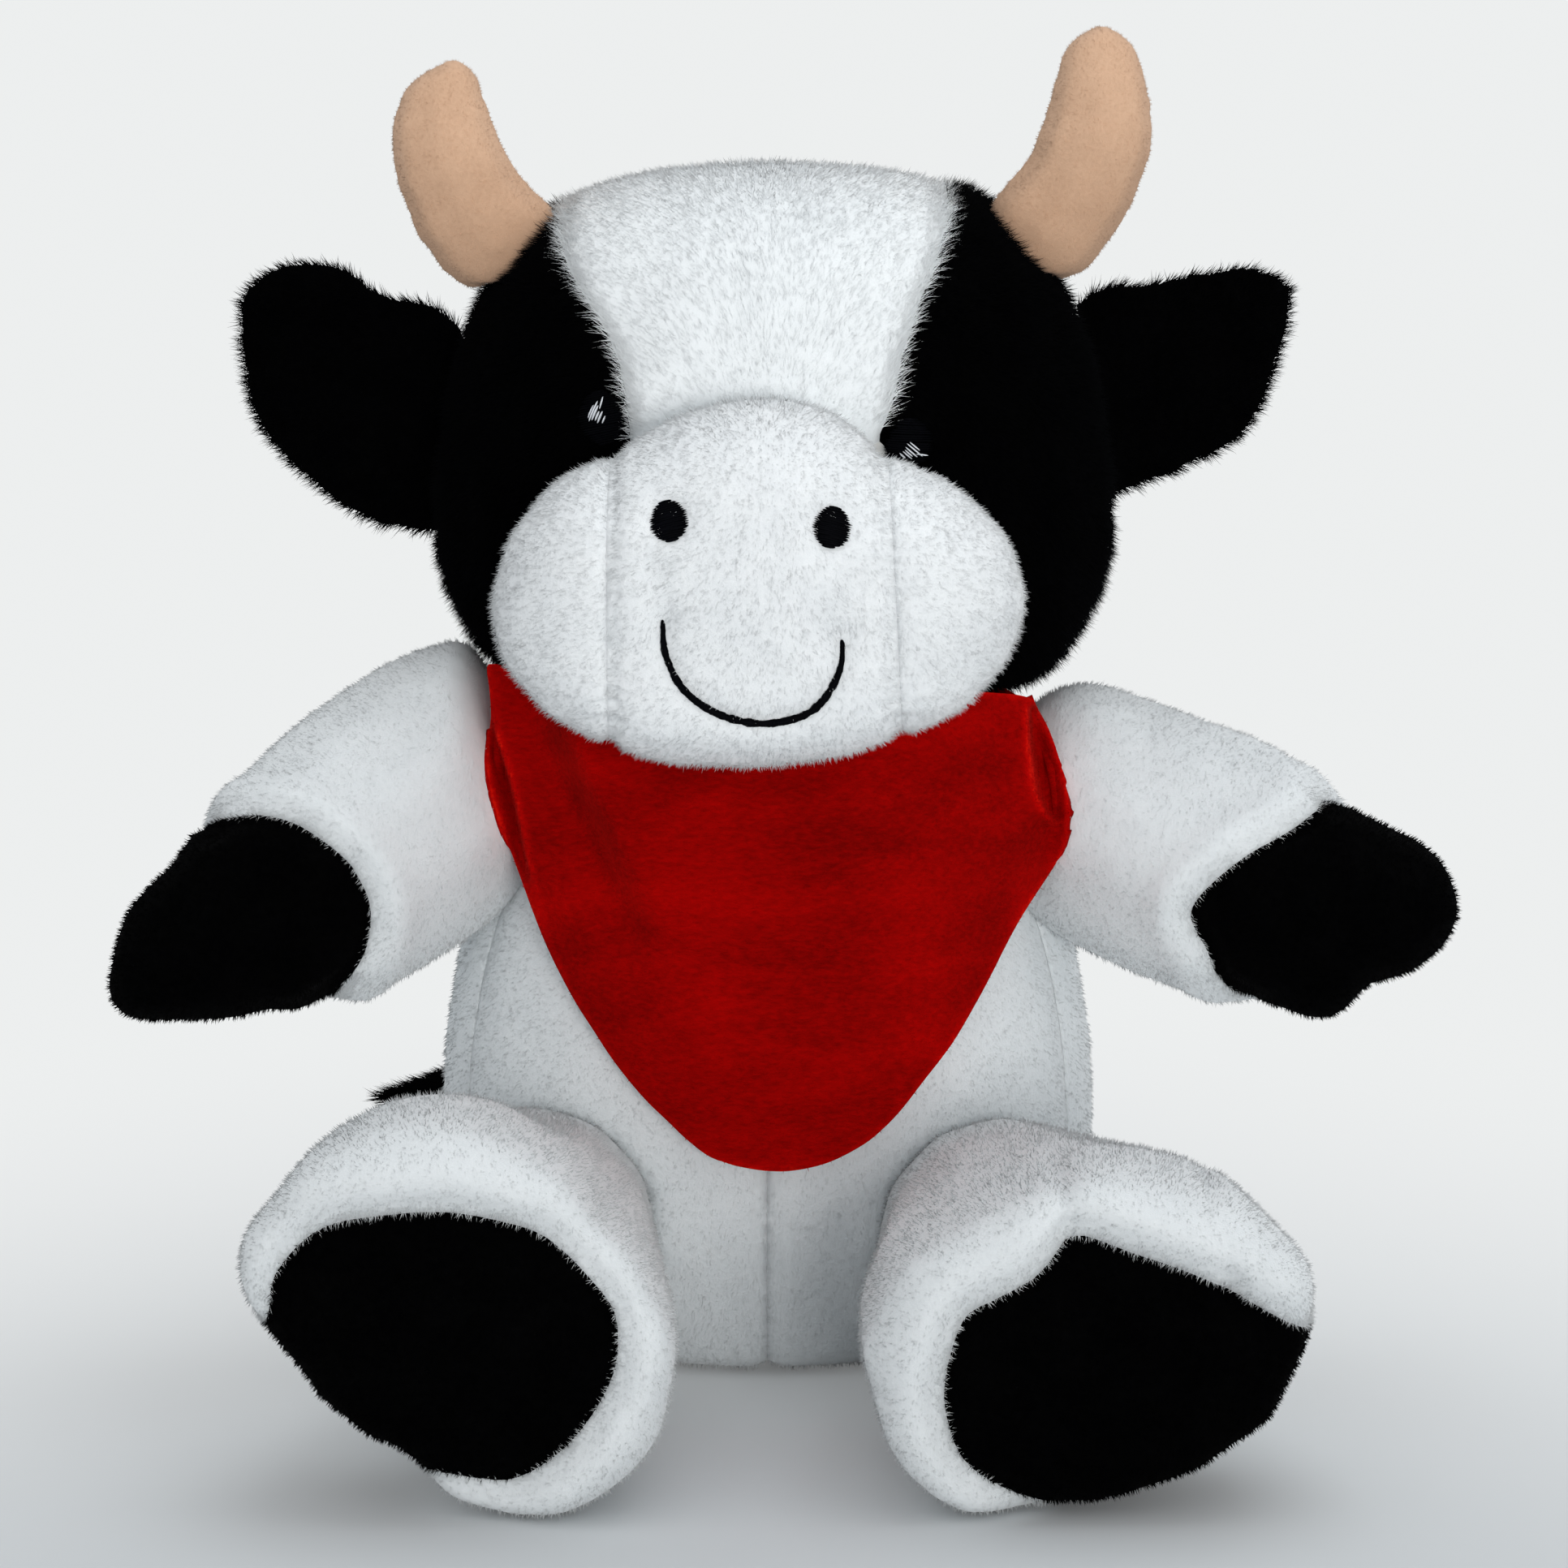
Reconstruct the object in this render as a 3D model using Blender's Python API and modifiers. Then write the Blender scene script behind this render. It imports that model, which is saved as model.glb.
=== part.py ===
"""Sitting plush cow with a red bandana, as sewn panels over stuffed forms.

Metres, +Z up. The cow faces -Y, so its own left is +X. The origin is the middle
of the flat patch that it sits on.
"""

import math

import bmesh
import bpy
from mathutils import Matrix, Vector
from mathutils.bvhtree import BVHTree

# Cloth and clearances
SKIN = 0.0016
GAP = 0.0003
FILLING_GAP = 0.0012
LINING_SHARE = 0.65
FILLING_SHARE = 0.45
SEAT_CUT = 0.0005

# Body
BODY_HEIGHT = 0.1090
BODY_HALF_WIDTH = 0.0595
BODY_FRONT = 0.0500
BODY_BACK = 0.0460
BODY_SEAT_RADIUS = 0.0350
SEAT_PANEL_RADIUS = 0.0300
BELLY_SIDE_SEAM_Y = -0.0200
PELLET_BAG_RADIUS = 0.0280
PELLET_BAG_HEIGHT = 0.0180
PELLET_BAG_Y = 0.0040

# Neck
NECK_Y = -0.0040
NECK_STANDOFF = 0.0030
NECK_WAD_RADIUS = 0.0240

# Head
HEAD_BOTTOM = 0.1148
HEAD_HEIGHT = 0.0902
HEAD_CENTRE_X = 0.0012
HEAD_HALF_WIDTH = 0.0562
HEAD_FRONT = 0.0520
HEAD_BACK = 0.0430
HEAD_BACK_SEAM_Y = 0.0140
BLAZE_LOW_HALF_WIDTH = 0.0234
BLAZE_TOP_HALF_WIDTH = 0.0340
BLAZE_LOW_CENTRE_X = -0.0018
BLAZE_WAIST_HALF_WIDTH = 0.0277
# Shares of the height from the muzzle's middle to the crown where the blaze changes width.
BLAZE_RISES = (0.424, 0.667, 0.909)

# Muzzle
MUZZLE_CENTRE_X = -0.0010
MUZZLE_HEIGHT = 0.1390
MUZZLE_HALF_WIDTH = 0.0430
MUZZLE_UP = 0.0330
MUZZLE_DOWN = 0.0280
MUZZLE_FRONT = 0.0920
MUZZLE_ROOT_Y = -0.0300
MUZZLE_SEAM_X = 0.0220

# Embroidery
STITCH_PROUD = 0.0009
EYE_HALF_WIDTH = 0.0045
EYE_HALF_HEIGHT = 0.0052
EYE_HIGHLIGHT_RADIUS = 0.0014
EYE_APART = {"left": 0.0252, "right": 0.0265}
EYE_RISES = {"left": 0.0252, "right": 0.0275}
NOSTRIL_HALF_WIDTH = 0.0029
NOSTRIL_HALF_HEIGHT = 0.0036
NOSTRIL_APART = 0.0262
NOSTRIL_RISE = 0.0145
SMILE_CENTRE_X = -0.0016
SMILE_HALF_WIDTH = 0.0140
SMILE_FALL = 0.0030
SMILE_DEEP = 0.0145
SMILE_THREAD_RADIUS = 0.0008

# Horns
HORN_ROOT_RADIUS = 0.0094
HORN_MIDDLE_RADIUS = 0.0089
HORN_TIP_RADIUS = 0.0064
HORN_PIVOT_Y = -0.0080
HORN_STANDOFF = 0.0045
HORNS = {
    "left": {"apart": 0.0450, "out": 0.0120, "tall": 0.0290},
    "right": {"apart": 0.0437, "out": 0.0098, "tall": 0.0255},
}

# Ears
EAR_THICKNESS = 0.0076
EAR_ROOT_Y = 0.0020
EAR_STANDOFF = 0.0018
EAR_ROOT_LENGTH = 0.0330
EAR_BOW = 0.0040
EAR_LENGTHS = {"left": 0.0345, "right": 0.0375}
EAR_ROOT_HEIGHTS = {"left": 0.1470, "right": 0.1430}
EAR_RIM = ((0.0, 0.0), (0.34, -0.10), (0.76, 0.16), (1.0, 0.66), (0.93, 1.06), (0.52, 1.22), (0.0, 1.0))

# Arms
ARM_ROOT_RADIUS = 0.0192
ARM_RADIUS = 0.0190
HOOF_RADIUS = 0.0158
HOOF_TIP = 1.15
ARM_PIVOT_X = 0.0545
ARM_PIVOT_Y = -0.0100
ARM_PIVOT_HEIGHTS = {"left": 0.0965, "right": 0.0980}
ARM_LENGTHS = {"left": 0.0552, "right": 0.0530}
ARM_COURSE = {
    "left": ((0.263, -0.208, -0.118), (0.516, -0.399, -0.226), (0.797, -0.543, -0.263)),
    "right": ((0.245, -0.217, -0.142), (0.472, -0.415, -0.283), (0.726, -0.575, -0.377)),
}

# Legs
LEG_ROOT_RADIUS = 0.0220
LEG_PIVOT_X = 0.0400
LEG_STANDOFF = 0.0135
FOOT_FRONT_Y = -0.1215
FOOT_DOME = 0.0090
FEET = {
    "left": {"centre_x": 0.0525, "half_width": 0.0362, "half_height": 0.0265},
    "right": {"centre_x": 0.0500, "half_width": 0.0345, "half_height": 0.0285},
}
# Sole outlines as shares of the half width and half height of the foot
SOLE_OUTLINES = {
    "left": (
        (0.88, -0.06), (0.55, 0.38), (0.08, 0.65), (-0.44, 0.42),
        (-0.68, -0.11), (-0.57, -0.68), (-0.15, -0.87), (0.43, -0.68),
    ),
    "right": (
        (0.77, 0.00), (0.49, 0.54), (0.03, 0.74), (-0.52, 0.61),
        (-0.77, 0.12), (-0.49, -0.35), (0.00, -0.72), (0.52, -0.61),
    ),
}
SOLE_DEPTH = 0.0150

# Wads of filling inside the limb joints
LIMB_WAD_RADIUS = 0.0090
WAD_CHANNEL_RADIUS = 0.0060
WAD_TURN = math.radians(35.0)
ROOT_OPENING_RADIUS = 0.0120
ROOT_OPENING_DEPTH = 0.0400

# Tail
TAIL_HEIGHT = 0.0240
TAIL_STANDOFF = 0.0030
TAIL_ROOT_RADIUS = 0.0060
TAIL_RADIUS = 0.0048
TUFT_RADIUS = 0.0072
TAIL_LENGTH = 0.0556
TAIL_COURSE = ((0.00, 0.00, 0.00), (-0.36, 0.18, -0.02), (-0.74, 0.20, 0.02), (-0.99, 0.13, 0.07))

# Bandana
CLOTH = 0.0020
BANDANA_HINGE_Z = 0.1040
BANDANA_TIP_Z = 0.0410
BANDANA_STANDOFF = 0.0035
FLAP_HALF_WIDTH = 0.0445
FLAP_TIP_HALF_WIDTH = 0.0020
BANDANA_SIDE_DEPTH = 0.0600
FLAP_FLARE = 0.0040
FOLD_PROUD = 0.0014
FOLD_WIDTH = 0.0060
FOLD_TOP_X = -0.0260
FOLD_DRIFT = 0.0160
NECK_CLOTH_RADIUS = 0.0285
COLLAR_RIM_Z = 0.1110
COLLAR_BACK_Z = 0.1055
COLLAR_BACK_RIM_Z = 0.1148
COLLAR_CORNER_RISE = 0.0012
COLLAR_CORNER_LIFT = 0.0080
COLLAR_EDGE_GAP = 0.0010
COLLAR_FLARE = 0.0020
KNOT_RADIUS = 0.0060
KNOT_HEIGHT = 0.1065

SIDES = 10
LIMB_SIDES = 10
HORN_SIDES = 8
SIGNS = {"left": 1.0, "right": -1.0}


def clear_scene():
    for obj in list(bpy.data.objects):
        bpy.data.objects.remove(obj, do_unlink=True)


def make_collection(name, hidden=False):
    collection = bpy.data.collections.new(name)
    collection.hide_render = hidden
    bpy.context.scene.collection.children.link(collection)
    return collection


clear_scene()
COW = make_collection("plush_cow")
CUTTERS = make_collection("plush_cow_cutters", hidden=True)


# Materials

WHITE_PLUSH = (0.86, 0.87, 0.88)
WHITE_MINKY = (0.84, 0.85, 0.87)
BLACK_PLUSH = (0.012, 0.012, 0.013)
BLACK_SHORT = (0.010, 0.010, 0.012)
PEACH_VELOUR = (0.72, 0.46, 0.29)
RED_FLEECE = (0.38, 0.004, 0.004)
BLACK_THREAD = (0.006, 0.006, 0.010)
WHITE_THREAD = (0.80, 0.82, 0.85)
FIBRE = (0.88, 0.88, 0.86)
PELLETS = (0.70, 0.70, 0.66)


def make_material(name, colour, roughness):
    material = bpy.data.materials.new(name)
    material.use_nodes = True
    shader = material.node_tree.nodes["Principled BSDF"]
    shader.inputs["Base Color"].default_value = (*colour, 1.0)
    shader.inputs["Roughness"].default_value = roughness
    shader.inputs["Metallic"].default_value = 0.0
    return material


# Placing objects

def link(name, mesh, colour, roughness, parent=None):
    """A named piece of the cow with its own material, moved by its joint's empty."""
    obj = bpy.data.objects.new(name, mesh)
    mesh.materials.clear()
    mesh.materials.append(make_material(name, colour, roughness))
    COW.objects.link(obj)
    if parent is not None:
        obj.parent = parent
        obj.matrix_parent_inverse = Matrix.Translation(-parent.location)
    return obj


def link_cutter(name, mesh):
    cutter = bpy.data.objects.new(name, mesh)
    cutter.hide_render = True
    cutter.display_type = "WIRE"
    CUTTERS.objects.link(cutter)
    return cutter


def pivot(name, place):
    empty = bpy.data.objects.new(name, None)
    empty.location = place
    empty.empty_display_size = 0.01
    COW.objects.link(empty)
    return empty


# Meshes

def finish_mesh(name, bm):
    bmesh.ops.recalc_face_normals(bm, faces=bm.faces)
    mesh = bpy.data.meshes.new(name)
    bm.to_mesh(mesh)
    bm.free()
    mesh.shade_smooth()
    return mesh


def bridge_rings(name, rings, first_pole, last_pole):
    """A closed skin over rings of points, ended by a pole at each end."""
    bm = bmesh.new()
    rows = [[bm.verts.new(point) for point in ring] for ring in rings]
    count = len(rows[0])
    for lower, upper in zip(rows, rows[1:]):
        for i in range(count):
            j = (i + 1) % count
            bm.faces.new((lower[i], lower[j], upper[j], upper[i]))
    for row, pole in ((rows[0], first_pole), (rows[-1], last_pole)):
        tip = bm.verts.new(pole)
        for i in range(count):
            bm.faces.new((row[i], row[(i + 1) % count], tip))
    return finish_mesh(name, bm)


def bulge(angle, power):
    """A point of the unit super-ellipse at this angle."""
    c, s = math.cos(angle), math.sin(angle)
    return (
        math.copysign(abs(c) ** (2.0 / power), c),
        math.copysign(abs(s) ** (2.0 / power), s),
    )


def level_ring(height, centre_x, half_width, front, back, power=2.2):
    """A level section, wider or narrower to the front and to the back."""
    swell = 1.0 / math.cos(math.pi / SIDES)
    ring = []
    for k in range(SIDES):
        x, y = bulge(2.0 * math.pi * k / SIDES, power)
        depth = back if y > 0 else front
        ring.append(Vector((centre_x + swell * half_width * x, swell * depth * y, height)))
    return ring


def ball_mesh(name, centre, radius, segments=16, rings=10, scale=(1.0, 1.0, 1.0)):
    bm = bmesh.new()
    bmesh.ops.create_uvsphere(bm, u_segments=segments, v_segments=rings, radius=radius)
    bmesh.ops.scale(bm, vec=scale, verts=bm.verts)
    bmesh.ops.translate(bm, vec=centre, verts=bm.verts)
    return finish_mesh(name, bm)


def tube_mesh(name, start, end, radius, sides=16):
    direction = end - start
    bm = bmesh.new()
    bmesh.ops.create_cone(
        bm,
        cap_ends=True,
        segments=sides,
        radius1=radius,
        radius2=radius,
        depth=direction.length,
    )
    turn = direction.to_track_quat("Z", "Y").to_matrix().to_4x4()
    bmesh.ops.transform(bm, matrix=Matrix.Translation((start + end) / 2) @ turn, verts=bm.verts)
    return finish_mesh(name, bm)


def box_mesh(name, low, high):
    low, high = Vector(low), Vector(high)
    bm = bmesh.new()
    bmesh.ops.create_cube(bm, size=1.0)
    bmesh.ops.scale(bm, vec=high - low, verts=bm.verts)
    bmesh.ops.translate(bm, vec=(low + high) / 2, verts=bm.verts)
    return finish_mesh(name, bm)


def prism_mesh(name, outline, y_low, y_high):
    """An outline of (x, z) points, pushed out along Y."""
    bm = bmesh.new()
    near = [bm.verts.new((x, y_low, z)) for x, z in outline]
    face = bm.faces.new(near)
    pushed = bmesh.ops.extrude_face_region(bm, geom=[face])
    moved = [v for v in pushed["geom"] if isinstance(v, bmesh.types.BMVert)]
    bmesh.ops.translate(bm, vec=(0.0, y_high - y_low, 0.0), verts=moved)
    return finish_mesh(name, bm)


def oval_outline(centre_x, centre_z, half_long, half_short, tilt, count=14):
    points = []
    for k in range(count):
        angle = 2.0 * math.pi * k / count
        u, v = half_long * math.cos(angle), half_short * math.sin(angle)
        x = centre_x + u * math.cos(tilt) - v * math.sin(tilt)
        z = centre_z + u * math.sin(tilt) + v * math.cos(tilt)
        points.append((x, z))
    return points


# Cutters

def ball_cutter(name, centre, radius, segments=14, rings=8):
    """A ball whose flat faces all lie outside the true ball of this radius."""
    outside = radius / (math.cos(math.pi / segments) * math.cos(0.5 * math.pi / rings))
    return link_cutter(name, ball_mesh(name, centre, outside, segments, rings))


def tube_cutter(name, start, end, radius, sides=12):
    outside = radius / math.cos(math.pi / sides)
    return link_cutter(name, tube_mesh(name, start, end, outside, sides))


def box_cutter(name, low, high):
    return link_cutter(name, box_mesh(name, low, high))


def prism_cutter(name, outline, y_low, y_high):
    return link_cutter(name, prism_mesh(name, outline, y_low, y_high))


def block_cutter(name, face_point, outward, size=0.16):
    """A cube with one face on this point, lying on the outward side of it."""
    bm = bmesh.new()
    bmesh.ops.create_cube(bm, size=size)
    bmesh.ops.translate(bm, vec=(0.0, 0.0, size / 2), verts=bm.verts)
    turn = outward.to_track_quat("Z", "Y").to_matrix().to_4x4()
    bmesh.ops.transform(bm, matrix=Matrix.Translation(face_point) @ turn, verts=bm.verts)
    return link_cutter(name, finish_mesh(name, bm))


# Modifiers

def smooth(obj, levels):
    if levels:
        modifier = obj.modifiers.new("smooth", "SUBSURF")
        modifier.levels = levels
        modifier.render_levels = levels


def offset(obj, distance):
    if distance:
        modifier = obj.modifiers.new("offset", "DISPLACE")
        modifier.mid_level = 0.0
        modifier.strength = distance


def simplify(obj, share):
    """Fewer faces where nobody looks: inside the cloth and on the filling."""
    modifier = obj.modifiers.new("simplify", "DECIMATE")
    modifier.ratio = share


def boolean(obj, cutters, operation="DIFFERENCE", solver="EXACT"):
    for cutter in cutters:
        modifier = obj.modifiers.new(cutter.name, "BOOLEAN")
        modifier.operation = operation
        modifier.solver = solver
        modifier.object = cutter


def cut_form(obj, within, without):
    """Cuts a stuffed form. The exact solver loses faces on these thin, round shells."""
    boolean(obj, within, "INTERSECT", "MANIFOLD")
    boolean(obj, without, "DIFFERENCE", "MANIFOLD")


class Form:
    """A stuffed shape that its skins, its filling and its neighbours' cuts share."""

    def __init__(self, name, mesh, levels, parent=None):
        self.name = name
        self.mesh = mesh
        self.levels = levels
        self.parent = parent
        self.made = {}

    def cutter(self, distance, share=1.0):
        """The shape grown, or shrunk, by this distance."""
        key = (round(distance * 1e6), share)
        if key not in self.made:
            cutter = link_cutter(f"{self.name}_cutter_{len(self.made)}", self.mesh.copy())
            smooth(cutter, self.levels)
            offset(cutter, distance)
            if share < 1.0:
                simplify(cutter, share)
            self.made[key] = cutter
        return self.made[key]

    def filling_cutter(self, distance):
        """The filling as it is made, grown by this distance."""
        cutter = link_cutter(f"{self.name}_filling_cutter", self.mesh.copy())
        smooth(cutter, self.levels)
        offset(cutter, -(SKIN + FILLING_GAP))
        simplify(cutter, FILLING_SHARE)
        offset(cutter, distance)
        return cutter

    def skin(self, name, colour, roughness, within=(), without=()):
        """A cloth panel of this form, kept inside some cutters and outside others."""
        obj = link(name, self.mesh.copy(), colour, roughness, self.parent)
        smooth(obj, self.levels)
        cut_form(obj, within, list(without) + [self.cutter(-SKIN, LINING_SHARE)])
        return obj

    def filling(self, name, without=()):
        obj = link(name, self.mesh.copy(), FIBRE, 0.9, self.parent)
        smooth(obj, self.levels)
        offset(obj, -(SKIN + FILLING_GAP))
        simplify(obj, FILLING_SHARE)
        cut_form(obj, (), without)
        return obj

    def patch(self, name, outline, colour, roughness, y_low, y_high, proud=STITCH_PROUD):
        """Stitching that stands proud of this form within an outline seen from the front."""
        obj = link(name, self.mesh.copy(), colour, roughness, self.parent)
        smooth(obj, self.levels)
        offset(obj, GAP + proud)
        boolean(obj, [prism_cutter(f"{name}_outline", outline, y_low, y_high)], "INTERSECT")
        boolean(obj, [self.cutter(GAP)])
        return obj

    def surface(self):
        """The outer surface, to seat other pieces on."""
        probe = self.cutter(0.0)
        graph = bpy.context.evaluated_depsgraph_get()
        return BVHTree.FromObject(probe, graph)


def seen_from(tree, direction, through):
    """Where a look along this direction, through this point, first meets a surface."""
    direction = Vector(direction)
    hit = tree.ray_cast(Vector(through) - direction * 0.5, direction)
    return hit[0]


def depth_at(tree, x, z):
    """The y of a surface, seen from the front at this x and z."""
    return seen_from(tree, (0.0, 1.0, 0.0), (x, 0.0, z)).y


# Stuffed forms

def body_form():
    """Egg-shaped body: height, width, front and back as shares of the full sizes."""
    profile = (
        (0.03, 0.79, 0.80, 0.80),
        (0.20, 0.99, 0.98, 0.99),
        (0.50, 0.97, 1.00, 0.95),
        (0.72, 0.88, 0.95, 0.82),
        (0.87, 0.74, 0.86, 0.69),
        (0.97, 0.55, 0.64, 0.54),
    )
    bottom = -SEAT_CUT
    rings = [level_ring(bottom, 0.0, BODY_SEAT_RADIUS, BODY_SEAT_RADIUS, BODY_SEAT_RADIUS)]
    for height, width, front, back in profile:
        rings.append(
            level_ring(
                height * BODY_HEIGHT,
                0.0,
                width * BODY_HALF_WIDTH,
                front * BODY_FRONT,
                back * BODY_BACK,
            )
        )
    top = Vector((0.0, NECK_Y, BODY_HEIGHT))
    return Form("body", bridge_rings("body_form", rings, Vector((0, 0, bottom)), top), 1)


def head_form(parent):
    profile = (
        (0.03, 0.52, 0.50, 0.52),
        (0.16, 0.86, 0.80, 0.84),
        (0.32, 1.00, 0.98, 0.98),
        (0.50, 1.01, 1.02, 1.00),
        (0.68, 0.95, 0.97, 0.95),
        (0.84, 0.82, 0.82, 0.83),
        (0.95, 0.61, 0.58, 0.60),
    )
    rings = []
    for height, width, front, back in profile:
        rings.append(
            level_ring(
                HEAD_BOTTOM + height * HEAD_HEIGHT,
                HEAD_CENTRE_X,
                width * HEAD_HALF_WIDTH,
                front * HEAD_FRONT,
                back * HEAD_BACK,
                2.3,
            )
        )
    first = Vector((HEAD_CENTRE_X, 0.0, HEAD_BOTTOM))
    last = Vector((HEAD_CENTRE_X, 0.0, HEAD_BOTTOM + HEAD_HEIGHT))
    return Form("head", bridge_rings("head_form", rings, first, last), 1, parent)


def muzzle_form(parent):
    """Soft three-lobed muzzle, as sections from inside the head to its front."""
    outline = (
        (0.00, -1.00),
        (0.62, -0.92),
        (1.00, -0.40),
        (0.97, 0.24),
        (0.52, 0.78),
        (0.00, 0.98),
    )
    mirrored = [(-x, z) for x, z in reversed(outline[1:-1])]
    span = MUZZLE_FRONT + MUZZLE_ROOT_Y
    stations = ((0.00, 0.66), (0.30, 0.97), (0.56, 1.02), (0.78, 0.93), (0.94, 0.66))
    swell = 1.0 / math.cos(math.pi / SIDES)
    rings = []
    for along, size in stations:
        y = MUZZLE_ROOT_Y - along * span
        ring = []
        for x, z in list(outline) + mirrored:
            tall = MUZZLE_UP if z > 0 else MUZZLE_DOWN
            across = MUZZLE_CENTRE_X + swell * size * x * MUZZLE_HALF_WIDTH
            ring.append(Vector((across, y, MUZZLE_HEIGHT + swell * size * z * tall)))
        rings.append(ring)
    first = Vector((0.0, MUZZLE_ROOT_Y, MUZZLE_HEIGHT))
    last = Vector((0.0, -MUZZLE_FRONT, MUZZLE_HEIGHT))
    return Form("muzzle", bridge_rings("muzzle_form", rings, first, last), 1, parent)


def curve_point(points, t):
    """A smooth curve through a few points, t from 0 at the first to 1 at the last."""
    count = len(points) - 1
    k = min(int(t * count), count - 1)
    u = t * count - k
    p1, p2 = points[k], points[k + 1]
    p0 = points[k - 1] if k > 0 else p1 + (p1 - p2)
    p3 = points[k + 2] if k + 2 <= count else p2 + (p2 - p1)
    a = 2.0 * p1
    b = p2 - p0
    c = 2.0 * p0 - 5.0 * p1 + 4.0 * p2 - p3
    d = 3.0 * p1 - p0 - 3.0 * p2 + p3
    return 0.5 * (a + b * u + c * u * u + d * u * u * u)


def closed_curve(outline, wider=0.0, count=16):
    """A smooth loop of (x, z) points through a few, pushed outwards by a margin."""
    points = [Vector(point) for point in outline]
    middle = sum(points, Vector((0.0, 0.0))) / len(points)
    loop = points[-1:] + points + points[:2]
    span = len(points)
    result = []
    for k in range(count):
        point = curve_point(loop, (1.0 + span * k / count) / (len(loop) - 1))
        outward = point - middle
        result.append(point + outward * (1.5 * wider / outward.length))
    return result


def limb_mesh(name, places, widths, talls, side_hint, sides, steps, tip=0.5, root_rings=3):
    """A limb that starts as a ball about its first place and ends in a soft dome.

    places are points of its middle line, and widths and talls its half sizes there.
    tip is how far the dome reaches past the last place, as a share of its half size.
    """
    start = (curve_point(places, 0.02) - places[0]).normalized()
    rings = []

    def section(centre, forward, half_wide, half_tall):
        across = forward.cross(side_hint).normalized()
        up = across.cross(forward).normalized()
        ring = []
        for k in range(sides):
            angle = 2.0 * math.pi * k / sides
            ring.append(
                centre
                + across * (half_wide * math.cos(angle))
                + up * (half_tall * math.sin(angle))
            )
        rings.append(ring)

    radius = widths[0]
    for k in range(1, root_rings + 1):
        angle = 0.5 * math.pi * k / (root_rings + 1)
        section(places[0] - start * radius * math.cos(angle), start, *[radius * math.sin(angle)] * 2)
    sizes = [Vector((w, h, 0.0)) for w, h in zip(widths, talls)]
    forward = start
    for k in range(steps + 1):
        t = k / steps
        here = curve_point(places, t)
        ahead = curve_point(places, min(t + 0.02, 1.0))
        behind = curve_point(places, max(t - 0.02, 0.0))
        forward = (ahead - behind).normalized() if k else start
        size = curve_point(sizes, t)
        section(here, forward, size.x, size.y)
    end = places[-1]
    reach = tip * min(widths[-1], talls[-1])
    for k in (1, 2, 3):
        angle = 0.5 * math.pi * k / 4
        section(
            end + forward * reach * math.sin(angle),
            forward,
            widths[-1] * math.cos(angle),
            talls[-1] * math.cos(angle),
        )
    return bridge_rings(name, rings, places[0] - start * radius, end + forward * reach), start


# Body

class Joint:
    """A ball root: where a limb turns, its ball's radius and the cut for it."""

    def __init__(self, name, place, radius):
        self.name = name
        self.place = place
        self.radius = radius
        self.socket = ball_cutter(f"{name}_socket", place, radius + GAP)


def floor_cutter():
    return box_cutter("floor_cutter", (-0.3, -0.3, -0.1), (0.3, 0.3, 0.0))


def make_body(form, sockets, floor):
    far = 0.2
    under, over = Vector((0.0, 0.0, -0.02)), Vector((0.0, 0.0, 0.02))
    seat = link_cutter("seat_cutter", tube_mesh("seat_cutter", under, over, SEAT_PANEL_RADIUS, 24))
    around_seat = link_cutter(
        "around_seat_cutter",
        tube_mesh("around_seat_cutter", under, over, SEAT_PANEL_RADIUS + GAP, 24),
    )
    half = GAP / 2
    side_seam = BELLY_SIDE_SEAM_Y
    front_left = box_cutter("belly_left_cutter", (half, -far, -far), (far, side_seam - half, far))
    front_right = box_cutter("belly_right_cutter", (-far, -far, -far), (-half, side_seam - half, far))
    back = box_cutter("back_cutter", (-far, side_seam + half, -far), (far, far, far))
    white = (WHITE_PLUSH, 0.9)
    neck = sockets["neck"]
    form.skin(
        "belly_panel_left",
        *white,
        within=[front_left],
        without=[floor, around_seat, neck, sockets["arm_left"], sockets["leg_left"]],
    )
    form.skin(
        "belly_panel_right",
        *white,
        within=[front_right],
        without=[floor, around_seat, neck, sockets["arm_right"], sockets["leg_right"]],
    )
    form.skin(
        "body_back_panel",
        *white,
        within=[back],
        without=[floor, around_seat, neck] + [sockets[name] for name in ("arm_left", "arm_right", "tail")],
    )
    form.skin("seat_panel", *white, within=[seat], without=[floor])
    bag_low = SKIN - SEAT_CUT + GAP
    bag_centre = Vector((0.0, PELLET_BAG_Y, bag_low + PELLET_BAG_HEIGHT / 2))
    flat = (1.0, 1.0, PELLET_BAG_HEIGHT / 2 / PELLET_BAG_RADIUS)
    bag = ball_mesh("pellet_bag", bag_centre, PELLET_BAG_RADIUS, 12, 8, flat)
    link("pellet_bag", bag, PELLETS, 0.8)
    room = PELLET_BAG_RADIUS + 2 * GAP
    grow = (1.0, 1.0, (PELLET_BAG_HEIGHT / 2 + 2 * GAP) / room)
    pocket = link_cutter("pellet_pocket", ball_mesh("pellet_pocket", bag_centre, room, 12, 8, grow))
    form.filling("body_filling", without=[pocket] + list(sockets.values()))


# Head

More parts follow.
